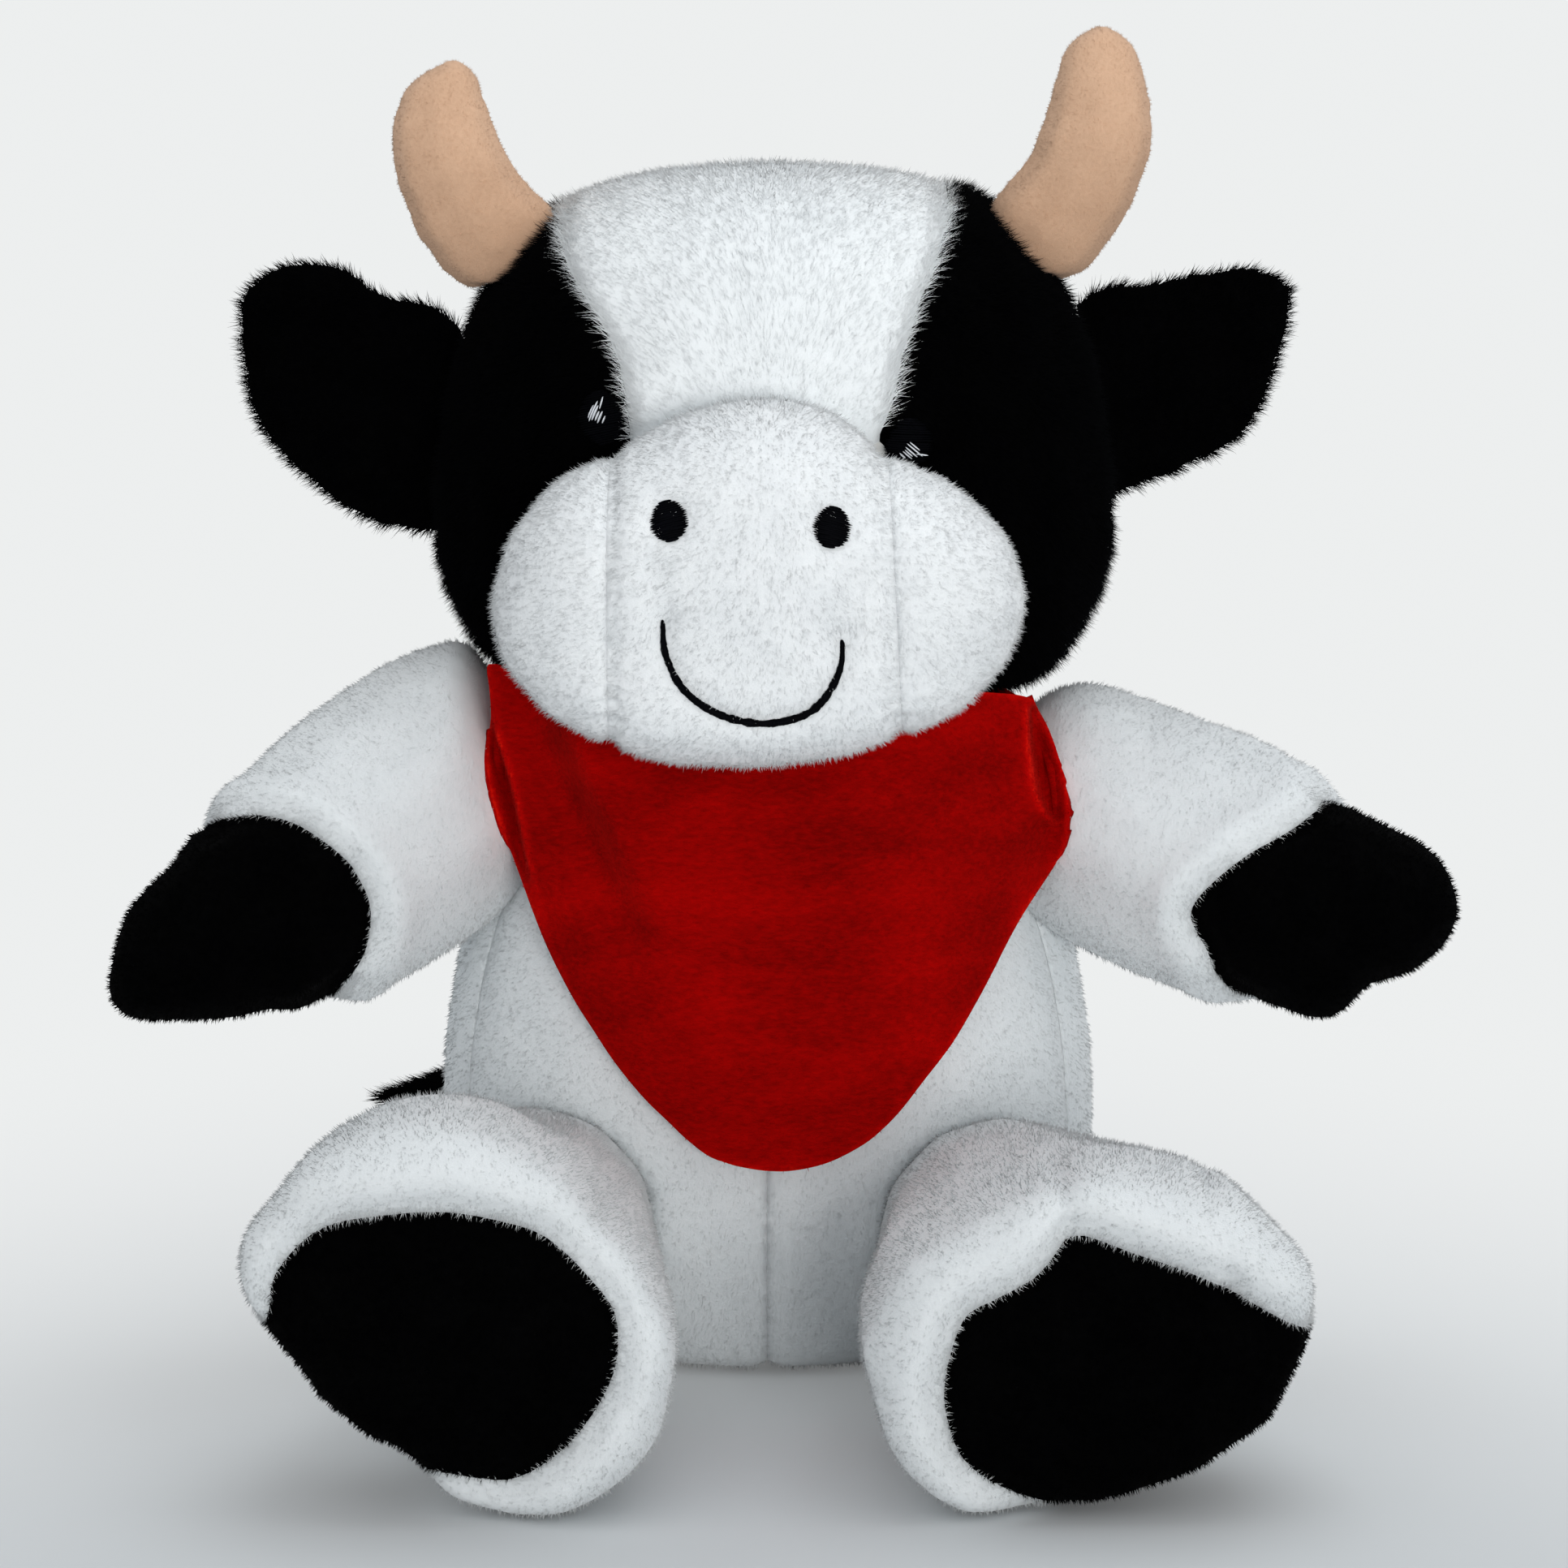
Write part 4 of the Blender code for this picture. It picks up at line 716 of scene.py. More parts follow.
# %% Fibres on a sheet
def fibres(place, normal, rng, length, lean, flow, width, stray, clump, clump_size, steps, droop=0.0):
    """Closed spikes. It returns points, triangles, shading normals
    and how far along its fibre each point is."""
    count = len(place)
    along = flow - normal * (flow * normal).sum(axis=1, keepdims=True)
    noise = rng.normal(size=(count, 3)) * stray
    direction = unit(normal * (1 - lean) + along * lean + noise * 0.5)
    direction = np.where((direction * normal).sum(axis=1, keepdims=True) < 0.08,
        unit(direction + normal * 0.5), direction)
    reach = length[:, None] * (0.72 + 0.5 * rng.random((count, 1)))
    tip = place + direction * reach
    tip[:, 2] -= droop * reach[:, 0]
    if clump:
        cell = np.floor((place + rng.normal(size=(count, 3)) * clump_size * 0.12) / clump_size).astype(int)
        key = (cell * np.array([73856093, 19349663, 83492791])).sum(axis=1)
        _, group, size = np.unique(key, return_inverse=True, return_counts=True)
        middle = np.stack([np.bincount(group, tip[:, k]) / size for k in range(3)], axis=1)[group]
        tip += (middle - tip) * (clump * rng.random((count, 1)))
    across = unit(np.cross(direction, rng.normal(size=(count, 3))))
    up = np.cross(direction, across)
    root = place - normal * 0.0003
    rings = []
    half = width / 2 * (0.8 + 0.4 * rng.random((count, 1)))
    for level in range(steps):
        share = level / steps
        centre = root + direction * reach * share * 0.9 if level else root
        centre = centre * (1 - share * share * 0.5) + (root + (tip - root) * share) * (share * share * 0.5)
        for k in range(3):
            angle = 2 * math.pi * k / 3
            spoke = across * math.cos(angle) + up * math.sin(angle)
            rings.append((centre + spoke * half * (1 - 0.35 * share), spoke, share))
    points = np.stack([r[0] for r in rings] + [tip], axis=1)
    spokes = np.stack([r[1] for r in rings] + [direction], axis=1)
    level = np.array([r[2] for r in rings] + [1.0])
    faces = [(0, 2, 1)]
    for s in range(steps - 1):
        for k in range(3):
            a, b = 3 * s + k, 3 * s + (k + 1) % 3
            faces += [(a, b, b + 3), (a, b + 3, a + 3)]
    last = 3 * (steps - 1)
    faces += [(last + k, last + (k + 1) % 3, 3 * steps) for k in range(3)]
    size = 3 * steps + 1
    faces = (np.array(faces)[None] + (np.arange(count) * size)[:, None, None]).reshape(-1, 3)
    shade = unit((normal[:, None] * 0.75 + spokes * 0.35).reshape(-1, 3))
    return points.reshape(-1, 3), faces, shade, np.tile(level, count)


# %% [markdown]
# A fabric and its pile become one mesh. Each point keeps how far along its fibre it is, so that roots can be
# painted darker than tips, as painted shade deep in the pile. The mesh also gets a map that unfolds all
# directions from the piece's middle onto one square.


# %% One mesh for fabric and pile
def unfolded(co, centre, pole):
    """An octahedron's map: every direction from the centre has its own place in the unit square."""
    pole = Vector(pole).normalized()
    turn = np.array(pole.rotation_difference(Vector((0, 0, 1))).to_matrix())
    d = (co - np.array(centre)) @ turn.T
    d /= np.maximum(np.abs(d).sum(axis=1, keepdims=True), 1e-9)
    x, y = d[:, 0], d[:, 1]
    fx = np.where(d[:, 2] < 0, (1 - np.abs(y)) * np.sign(x + 1e-12), x)
    fy = np.where(d[:, 2] < 0, (1 - np.abs(x)) * np.sign(y + 1e-12), y)
    return np.stack([fx, fy], axis=1) * 0.48 + 0.5


def merged(obj, extra, centre=None, pole=(0, -1, 0), base_level=0.35):
    """Rebuilds obj's mesh with extra = [(points, faces, shading normals, levels), ...] added to it."""
    co, tris, shade = points_of(obj), triangles_of(obj), normals_of(obj)
    level = base_level(co) if callable(base_level) else np.full(len(co), base_level)
    for points, faces, normals, levels in extra:
        tris = np.concatenate([tris, faces + len(co)])
        co = np.concatenate([co, points])
        shade = np.concatenate([shade, normals])
        level = np.concatenate([level, levels])
    mesh = bpy.data.meshes.new(obj.name)
    mesh.vertices.add(len(co))
    mesh.vertices.foreach_set("co", co.ravel())
    mesh.loops.add(len(tris) * 3)
    mesh.loops.foreach_set("vertex_index", tris.ravel().astype(np.int32))
    mesh.polygons.add(len(tris))
    mesh.polygons.foreach_set("loop_start", np.arange(0, len(tris) * 3, 3, dtype=np.int32))
    mesh.update(calc_edges=True)
    mesh.polygons.foreach_set("use_smooth", np.ones(len(tris), bool))
    mesh.attributes.new("pile_level", "FLOAT", "POINT").data.foreach_set("value", level.astype(np.float32))
    if centre is None:
        centre = (co.min(0) + co.max(0)) / 2
    places = unfolded(co, centre, pole)[tris.ravel()]
    mesh.uv_layers.new(name="OFBake").data.foreach_set("uv", places.ravel().astype(np.float32))
    mesh.normals_split_custom_set_from_vertices(shade)
    for material in obj.data.materials:
        mesh.materials.append(material)
    obj.data = mesh
    return obj


# %% Give a sheet its thickness and its pile
def thickened(obj, thickness):
    """Fabric thickness, inwards, with a closed rim."""
    wall = obj.modifiers.new("thickness", "SOLIDIFY")
    wall.thickness = thickness
    wall.offset = -1.0
    wall.use_even_offset = False
    apply_all(obj)
    return obj


def plush(obj, material, coats, thickness=0.0012, centre=None, pole=(0, -1, 0), skip=None, keep=0.40,
    base_level=0.35):
    """coats is a list of dicts with a pile's values. skip(points) above 0 leaves places bare.
    keep is the share of faces kept.
    base_level says how light the fabric under the pile is, as a number or by place."""
    fewer = obj.modifiers.new("fewer", "DECIMATE")
    fewer.ratio = keep
    apply_all(obj)
    co, tris, normals = points_of(obj), triangles_of(obj), normals_of(obj)
    if skip is not None:
        tris = tris[skip(co)[tris].min(axis=1) <= 0]
    extra = []
    for number, coat in enumerate(coats):
        values = dict(coat)
        rng = np.random.default_rng(7 + number + 13 * len(obj.name))
        place, normal = scattered(co, normals, tris, values.pop("density"), rng)
        where = values.pop("where", None)
        if where is not None:
            chosen = where(place) > 0
            place, normal = place[chosen], normal[chosen]
        flow = values.pop("flow")
        flow = np.asarray(flow(place) if callable(flow) else np.tile(flow, (len(place), 1)), float)
        length = values.pop("length")
        length = length(place) if callable(length) else np.full(len(place), length)
        extra.append(fibres(place, normal, rng, length, flow=flow, **values))
    thickened(obj, thickness)
    obj.data.materials.clear()
    obj.data.materials.append(material)
    merged(obj, extra, centre, pole, base_level)
    print(obj.name, len(obj.data.polygons), "triangles")
    return obj


def crossing(coat, field, reach, **changes):
    """A finer coat that thickens towards a seam, where the fibres cross over it."""
    def where(place):
        return reach * np.random.default_rng(len(place)).random(len(place)) - np.abs(field(place))

    values = dict(coat, density=9.0, width=0.00015, stray=0.6, where=where)
    values.update(changes)
    return values


def towards(centre):
    return lambda place: unit(np.array(centre) - place)


# %% [markdown]
# ## Finishes
# White plush is near white, with its roots painted slightly darker as painted shade deep in the pile. The
# black fur is nearly black, with its tips painted a little lighter as a faint painted sheen.


# %% Plush material
def plush_material(name, root, tip, patch, roughness=0.95, sheen=0.15, sheen_tint=(1, 1, 1), bump=0.25,
    grain=700.0, specular=0.1, along=1.0, more=()):
    """root and tip are a fibre's colours, and patch is how much patches change them. A root darker than its
    tip is painted shade deep in the pile. along stretches the grain sideways."""
    material, tree, shader, add = new_material(name)
    level = add("ShaderNodeAttribute", attribute_name="pile_level")
    place = add("ShaderNodeTexCoord")
    slow = add("ShaderNodeTexNoise", Scale=110.0, Detail=3.0)
    stretch = add("ShaderNodeMapping")
    stretch.inputs["Scale"].default_value = (along, 1.0, 1.0)
    tree.links.new(place.outputs["Object"], stretch.inputs["Vector"])
    tree.links.new(stretch.outputs["Vector"], slow.inputs["Vector"])
    fine = add("ShaderNodeTexNoise", Scale=grain, Detail=4.0, Roughness=0.65)
    tree.links.new(stretch.outputs["Vector"], fine.inputs["Vector"])
    patches = add("ShaderNodeMapRange", From_Min=0.3, From_Max=0.7, To_Min=-patch, To_Max=patch)
    tree.links.new(slow.outputs["Fac"], patches.inputs["Value"])
    grains = add("ShaderNodeMapRange", From_Min=0.3, From_Max=0.7, To_Min=-patch, To_Max=patch)
    tree.links.new(fine.outputs["Fac"], grains.inputs["Value"])
    total = add("ShaderNodeMath", operation="ADD")
    tree.links.new(level.outputs["Fac"], total.inputs[0])
    tree.links.new(patches.outputs["Result"], total.inputs[1])
    again = add("ShaderNodeMath", operation="ADD")
    tree.links.new(total.outputs["Value"], again.inputs[0])
    tree.links.new(grains.outputs["Result"], again.inputs[1])
    colour = ramp(add, tree, again.outputs["Value"], ((0.0, root), (0.8, tip), *more))
    tree.links.new(colour, shader.inputs["Base Color"])
    relief = add("ShaderNodeBump", Strength=bump, Distance=0.0006)
    tree.links.new(fine.outputs["Fac"], relief.inputs["Height"])
    tree.links.new(relief.outputs["Normal"], shader.inputs["Normal"])
    shader.inputs["Roughness"].default_value = roughness
    shader.inputs["Specular IOR Level"].default_value = specular
    shader.inputs["Sheen Weight"].default_value = sheen
    shader.inputs["Sheen Roughness"].default_value = 0.5
    shader.inputs["Sheen Tint"].default_value = (*sheen_tint, 1.0)
    return material


# Each white pile's root colour is darker than its tip: painted shade deep in the pile.
white_plush = plush_material("white_plush", (0.72, 0.755, 0.77), (0.83, 0.86, 0.87), 0.12, sheen=0.4)
white_fur = plush_material("white_fur", (0.79, 0.825, 0.84), (0.89, 0.92, 0.93), 0.12, sheen=0.4)
white_minky = plush_material("white_minky", (0.77, 0.80, 0.82), (0.91, 0.935, 0.945), 0.16, sheen=0.4,
    grain=1100.0, bump=0.35)
# The black fur's lighter tips are a faint painted sheen.
black_fur = plush_material("black_fur", (0.0003, 0.0003, 0.0004), (0.0012, 0.0012, 0.0014), 0.25, 0.9, 0.004,
    (0.5, 0.55, 0.65), specular=0.01)
black_short = plush_material("black_short_plush", (0.0003, 0.0003, 0.0004), (0.0012, 0.0012, 0.0013), 0.25,
    0.95, 0.004, specular=0.01)
peach_velour = plush_material("peach_velour", (0.55, 0.345, 0.225), (0.70, 0.455, 0.305), 0.16, 0.9, 0.12,
    (1.0, 0.8, 0.7), 0.2, 1300.0)

# %% [markdown]
# ## Filling
# The form inside each bag of fabric is a lump of loose fibre that fills it. It is made from the finished
# skin, a little smaller all round, so the fabric covers it everywhere.


# %% The fibre inside a skin
fibre = plush_material("fibre_filling", (0.70, 0.70, 0.68), (0.88, 0.88, 0.86), 0.2, 0.95, 0.1)


def core(skin, name, body_name, node, inset=0.0032):
    """A smaller, coarser copy of a skin that stands for the filling."""
    lump = bpy.data.objects.new(name, skin.data.copy())
    bpy.context.scene.collection.objects.link(lump)
    fewer = lump.modifiers.new("fewer", "DECIMATE")
    fewer.ratio = 0.12
    apply_all(lump)
    inner = points_of(lump) - normals_of(lump) * inset
    set_points(lump, evened(inner, edges_of(lump), 6))
    lump.data.materials.clear()
    lump.data.materials.append(fibre)
    lump.data.shade_smooth()
    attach(lump, body_name)
    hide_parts(node)
    print(name, len(lump.data.polygons), "faces")


core(muzzle, "muzzle_fibre", "head", "muzzle_filling")

# %% [markdown]
# ## The body's four panels
# All four are short white plush, with the nap running down. The seams show as thin soft lines.

# %% Body panels
DOWN = (0.0, 0.0, -1.0)
SHORT = dict(length=0.0010, density=1.9, lean=0.62, flow=DOWN, width=0.00021, stray=0.4, clump=0.1,
    clump_size=0.0022, steps=1)

UNSEEN = dict(SHORT, density=1.0, width=0.00030)


def is_front(co):
    return SIDE_SEAM_Y - co[:, 1]


def is_seat(co):
    return np.minimum(SEAT_RADIUS - np.hypot(co[:, 0], co[:, 1]), 0.012 - co[:, 2])


def not_seat(co):
    return -is_seat(co)


BODY_PANELS = {
    "belly_left": ("belly_panel_left", both(is_front, not_seat, lambda co: co[:, 0])),
    "belly_right": ("belly_panel_right", both(is_front, not_seat, lambda co: -co[:, 0])),
    "body_back": ("body_back_panel", both(outside(is_front), not_seat)),
    "seat": ("seat_panel", is_seat),
}
for name, (node, inside) in BODY_PANELS.items():
    piece = panel(body, name, inside)
    plush(piece, white_plush, [SHORT if "belly" in name else UNSEEN], centre=(0, 0, 0.055))
    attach(piece, "torso")
    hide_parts(node)

# %% [markdown]
# ## The head
# The sides and back are long black fur, combed back and down. On the toy it is about 4 mm long. Its fibres
# are 3 mm here and lean, so that they end at the outline in the photo. The blaze is soft white fur, a little
# longer than the body's, and it fringes over the black along both edges.


# %% Head panels
def head_front(co):
    return HEAD_BACK_SEAM_Y - co[:, 1]


def fur_flow(place):
    """Hair on the head lies away from the face: outwards, back and down."""
    flow = np.stack([np.sign(place[:, 0]) * 0.5, np.full(len(place), 0.5), np.full(len(place), -0.75)],
        axis=1)
    return unit(flow)


def blaze_flow(place):
    """White hair lies up the forehead and out over the edges."""
    flow = np.stack([place[:, 0] * 22.0, np.full(len(place), -0.1), np.full(len(place), 0.35)], axis=1)
    return unit(flow)


def in_muzzle(co):
    """Above 0 well inside the muzzle, where no pile is needed."""
    centre = np.array([-0.001, 0, 0.141])
    d = (co - centre) / np.array([0.038, 1.0, 0.026])
    return np.where(co[:, 1] < -0.02, 1.0 - (d[:, 0] ** 2 + d[:, 2] ** 2), -1.0)


def bare_on_head(co):
    """Above 0 under the muzzle and where the eyes are embroidered."""
    eyes = [1.0 - np.linalg.norm((co - np.array(place)) / EYE_BARE, axis=1)
            for place, _ in eye_places.values()]
    return np.maximum.reduce([in_muzzle(co), *eyes])


EYE_PIXELS = {"right": (743, 514), "left": (1118, 545)}
EYE_BARE = np.array([0.0031, 0.0200, 0.0035])
head_tree = tree_of(head)
eye_places = {side: seen(*pixel, head_tree) for side, pixel in EYE_PIXELS.items()}
LONG = dict(length=0.0031, density=4.6, lean=0.6, flow=fur_flow, width=0.00021, stray=0.5, clump=0.4,
    clump_size=0.0019, steps=1)
BEHIND = dict(LONG, density=2.3, width=0.00032, lean=0.75, stray=0.35)


def fringe_length(place):
    """White hair is longest along the two edges, where it falls over the black."""
    return 0.0016 + 0.0018 * (1 - smoothstep(blaze_edge(place), 0.0, 0.0035))


FRINGE = dict(length=fringe_length, density=2.7, lean=0.74, flow=blaze_flow, width=0.00020, stray=0.45,
    clump=0.12, clump_size=0.0022, steps=1)
EDGE = crossing(FRINGE, blaze_edge, 0.0042, density=8.0, lean=0.76, width=0.00017)
HEAD_PANELS = {
    "face_blaze_plush": ("face_blaze", both(head_front, blaze_edge), white_fur, [FRINGE, EDGE],
        "white_plush"),
    "head_fur_left": ("head_side_left", both(head_front, outside(blaze_edge), lambda co: co[:, 0]), black_fur,
        [LONG], "black_plush"),
    "head_fur_right": ("head_side_right", both(head_front, outside(blaze_edge), lambda co: -co[:, 0]),
        black_fur, [LONG], "black_plush"),
    "head_fur_back": ("head_back_panel", outside(head_front), black_fur, [BEHIND], "black_plush"),
}
for name, (node, inside, material, coats, slot) in HEAD_PANELS.items():
    piece = panel(head, name, inside)
    plush(piece, material, coats, centre=(0.001, 0, 0.16), pole=(0, 0, 1), skip=bare_on_head)
    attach(piece, "head")
    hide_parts(node)

# %% Muzzle panels
def nap_flow(place):
    """The muzzle's nap is stroked outwards from the middle and down."""
    flow = np.stack([place[:, 0] * 30.0, np.zeros(len(place)), np.full(len(place), -0.6)], axis=1)
    return unit(flow)


def under_thread(co):
    """Above 0 where the nostrils and the smile are stitched, so that no nap grows through the thread."""
    spots = [0.0032 - np.linalg.norm(co - np.array(place), axis=1) for place, _ in nostrils.values()]
    return np.maximum.reduce([*spots, 0.0007 - near_line(co, smile_line)])


NAP = dict(length=0.0014, density=2.6, lean=0.72, flow=nap_flow, width=0.00019, stray=0.6, clump=0.5,
    clump_size=0.0016, steps=1)
MUZZLE_PANELS = {
    "muzzle_middle": ("muzzle_centre_panel", lambda co: -np.maximum(*muzzle_seams(co))),
    "muzzle_cheek_plush_left": ("muzzle_cheek_left", lambda co: muzzle_seams(co)[0]),
    "muzzle_cheek_plush_right": ("muzzle_cheek_right", lambda co: muzzle_seams(co)[1]),
}
for name, (node, inside) in MUZZLE_PANELS.items():
    piece = panel(muzzle, name, inside)
    plush(piece, white_minky, [NAP], centre=(-0.001, -0.055, 0.141), skip=under_thread)
    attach(piece, "head")
    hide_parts(node)


# %% [markdown]
# ## Arms and legs
# Each arm is a white sleeve with a black hoof sewn on. Each foot is a thick white roll round a flat black
# sole.



# %% Cuff planes and how the hooves differ from a plain dome
CUFFS = {
    "left": (Vector((0.0885, -0.0330, 0.0815)), Vector((0.62, -0.76, -0.18)).normalized()),
    "right": (Vector((-0.0830, -0.0330, 0.0815)), Vector((-0.64, -0.64, -0.42)).normalized()),
}
HOOF_OUTLINES = {
    "left": ((0.1155, 0.0807), (0.1127, 0.0916), (0.1032, 0.0969), (0.0940, 0.0995), (0.0858, 0.0952),
        (0.0760, 0.0905), (0.0715, 0.0807), (0.0761, 0.0699), (0.0848, 0.0634), (0.0946, 0.0621),
        (0.1005, 0.0690), (0.1085, 0.0722)),
    "right": ((-0.0667, 0.0814), (-0.0718, 0.0929), (-0.0823, 0.0972), (-0.0913, 0.0965), (-0.0972, 0.0918),
        (-0.1025, 0.0874), (-0.1075, 0.0814), (-0.1101, 0.0705), (-0.1095, 0.0642), (-0.0919, 0.0633),
        (-0.0821, 0.0642), (-0.0710, 0.0692)),
}


CUFF_PIXELS = {
    "right": ((225, 1006), (248, 1026), (263, 1020), (281, 1010), (317, 1004), (359, 1013), (395, 1034),
        (428, 1061), (443, 1084), (454, 1108), (457, 1134), (451, 1169), (433, 1201), (403, 1226),
        (380, 1246), (350, 1290), (250, 1330), (60, 1330), (40, 1180), (60, 1030), (150, 990)),
    "left": ((1670, 975), (1648, 990), (1619, 1002), (1601, 1016), (1572, 1034), (1546, 1048), (1520, 1066),
        (1496, 1086), (1475, 1108), (1467, 1128), (1475, 1150), (1487, 1170), (1495, 1193), (1511, 1215),
        (1533, 1235), (1550, 1256), (1590, 1310), (1720, 1330), (1880, 1290), (1900, 1120), (1860, 980),
        (1760, 940)),
}


def flat_loop(pixels, count=96):
    return rounded_loop([((x - 966) * PIXEL, (966 - y) * PIXEL) for x, y in pixels], count)


def beyond_cuff(side):
    """Above 0 on the hoof. The back of the cuff is a plane,
    and in front the seam runs where the photo shows it."""
    middle, normal = CUFFS[side]
    loop = flat_loop(CUFF_PIXELS[side], 120)

    def field(co):
        plane = (co - np.array(middle)) @ np.array(normal)
        front = smoothstep(-co[:, 1], 0.027, 0.043)
        return plane + (inside_loop(loop, *as_seen(co).T) - plane) * front

    return field


# %% Arms: shape, cuff and pads
ARM_TOPS = {
    "left": ((0.034, -0.0090), (0.040, -0.0088), (0.046, -0.0066), (0.050, -0.0050), (0.0545, -0.0044),
        (0.0645, -0.0049), (0.0715, -0.0038), (0.077, -0.0026), (0.083, -0.0006), (0.087, 0.0006),
        (0.095, 0.0008)),
    "right": ((0.034, -0.0090), (0.040, -0.0085), (0.045, -0.0064), (0.048, -0.0028), (0.051, 0.0006),
        (0.0535, 0.0015), (0.0575, 0.0007), (0.062, 0.0)),
}
TINY = dict(length=0.0010, density=2.2, lean=0.45, flow=DOWN, width=0.00026, stray=0.5, clump=0.3,
    clump_size=0.0018, steps=1)
for side, sign in (("left", 1), ("right", -1)):
    arm = arms[side]
    rounded_up(arm)
    out = beyond_cuff(side)
    co = points_of(arm)
    root = np.array([sign * 0.0545, -0.010, 0.0972])
    from_root = np.linalg.norm(co - root, axis=1)
    fuller = 0.0036 * (1 - smoothstep(from_root, 0.022, 0.050)) + 0.0012
    sink(arm, -fuller * (1 - smoothstep(out(co), -0.004, 0.006)))
    co = points_of(arm)
    away = np.abs(co[:, 0])
    upper = smoothstep(co[:, 2] + 0.25 * (away - 0.05), 0.090, 0.113) * (
            1 - smoothstep(out(co), -0.004, 0.004))
    co[:, 2] += np.interp(away, *np.array(ARM_TOPS[side]).T) * upper
    set_points(arm, co)
    fitted(arm, smoothstep(out(points_of(arm)), -0.002, 0.010), HOOF_OUTLINES[side], 0.9, 0.0008)
    set_points(arm, evened(points_of(arm), edges_of(arm), 3))
    co = points_of(arm)
    sink(arm, 0.0016 * valley(out(co), 0.0022) - 0.0010 * valley(out(co) + 0.005, 0.003))
    core(arm, f"arm_fibre_{side}", f"arm_{side}", f"arm_filling_{side}")
    arm_box = points_of(arm)
    print("arm", side, arm_box.min(0).round(4), arm_box.max(0).round(4))
    sleeve = panel(arm, f"arm_plush_{side}", lambda co: -out(co))
    coat = dict(SHORT, flow=(sign * 0.7, -0.3, -0.5))
    plush(sleeve, white_plush, [coat, crossing(coat, out, 0.0022, length=0.0013)],
        centre=(sign * 0.07, -0.02, 0.09), pole=(sign, 0, 0))
    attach(sleeve, f"arm_{side}")
    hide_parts(f"arm_sleeve_{side}")
    hoof = panel(arm, f"hoof_plush_{side}", out)
    coat = dict(TINY, flow=(sign * 0.8, -0.3, -0.4))
    plush(hoof, black_short, [coat, crossing(coat, out, 0.0014, lean=0.2)], centre=CUFFS[side][0],
        pole=(sign, 0, 0))
    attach(hoof, f"arm_{side}")
    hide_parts(f"hoof_{side}")

# %% Legs: the white roll and the sole
LEG_OUTLINES = {
    "right": ((-0.0832, 0.0395), (-0.0815, 0.0338), (-0.0780, 0.0285), (-0.0762, 0.0259), (-0.0729, 0.0225),
        (-0.0666, 0.0174), (-0.0587, 0.0108), (-0.0512, 0.0047), (-0.0455, 0.0018), (-0.0394, 0.0006),
        (-0.0296, 0.0008), (-0.0215, 0.0038), (-0.0165, 0.0109), (-0.0141, 0.0202), (-0.0148, 0.0303),
        (-0.0189, 0.0395), (-0.0244, 0.0462), (-0.0301, 0.0532), (-0.0373, 0.0594), (-0.0437, 0.0619),
        (-0.0510, 0.0631), (-0.0591, 0.0631), (-0.0656, 0.0606), (-0.0737, 0.0537), (-0.0794, 0.0470)),
    "left": ((0.0140, 0.0268), (0.0160, 0.0346), (0.0210, 0.0415), (0.0277, 0.0462), (0.0360, 0.0501),
        (0.0443, 0.0530), (0.0551, 0.0546), (0.0643, 0.0539), (0.0726, 0.0513), (0.0777, 0.0484),
        (0.0828, 0.0424), (0.0862, 0.0355), (0.0868, 0.0315), (0.0856, 0.0270), (0.0842, 0.0223),
        (0.0803, 0.0146), (0.0746, 0.0095), (0.0648, 0.0043), (0.0530, 0.0012), (0.0441, 0.0004),
        (0.0364, 0.0004), (0.0292, 0.0006), (0.0246, 0.0016), (0.0195, 0.0078), (0.0161, 0.0165)),
}
SOLE_LOOPS = {
    "right": ((-0.0684, 0.0473), (-0.0578, 0.0498), (-0.0474, 0.0501), (-0.0365, 0.0473), (-0.0318, 0.0441),
        (-0.0271, 0.0392), (-0.0235, 0.0341), (-0.0228, 0.0292), (-0.0235, 0.0243), (-0.0263, 0.0186),
        (-0.0311, 0.0125), (-0.0368, 0.0083), (-0.0416, 0.0069), (-0.0500, 0.0078), (-0.0565, 0.0072),
        (-0.0640, 0.0095), (-0.0715, 0.0140), (-0.0785, 0.0200), (-0.0810, 0.0262), (-0.0772, 0.0325),
        (-0.0756, 0.0400)),
    "left": ((0.0466, 0.0457), (0.0498, 0.0461), (0.0565, 0.0438), (0.0646, 0.0410), (0.0720, 0.0375),
        (0.0786, 0.0334), (0.0850, 0.0292), (0.0900, 0.0255), (0.0890, 0.0170), (0.0840, 0.0095),
        (0.0765, 0.0040), (0.0660, 0.0000), (0.0545, -0.0010), (0.0450, 0.0018), (0.0381, 0.0049),
        (0.0314, 0.0096), (0.0285, 0.0156), (0.0277, 0.0231), (0.0305, 0.0330), (0.0353, 0.0363),
        (0.0418, 0.0401)),
}
LEG_SEAMS = (((0.0458, 0.0530), (0.0462, 0.0490), (0.0466, 0.0457)),
             ((0.0690, 0.0510), (0.0710, 0.0450), (0.0720, 0.0375)))


def in_sole(side):
    loop = rounded_loop(SOLE_LOOPS[side])
    return lambda co: np.minimum(inside_loop(loop, co[:, 0], co[:, 2]), -0.090 - co[:, 1])


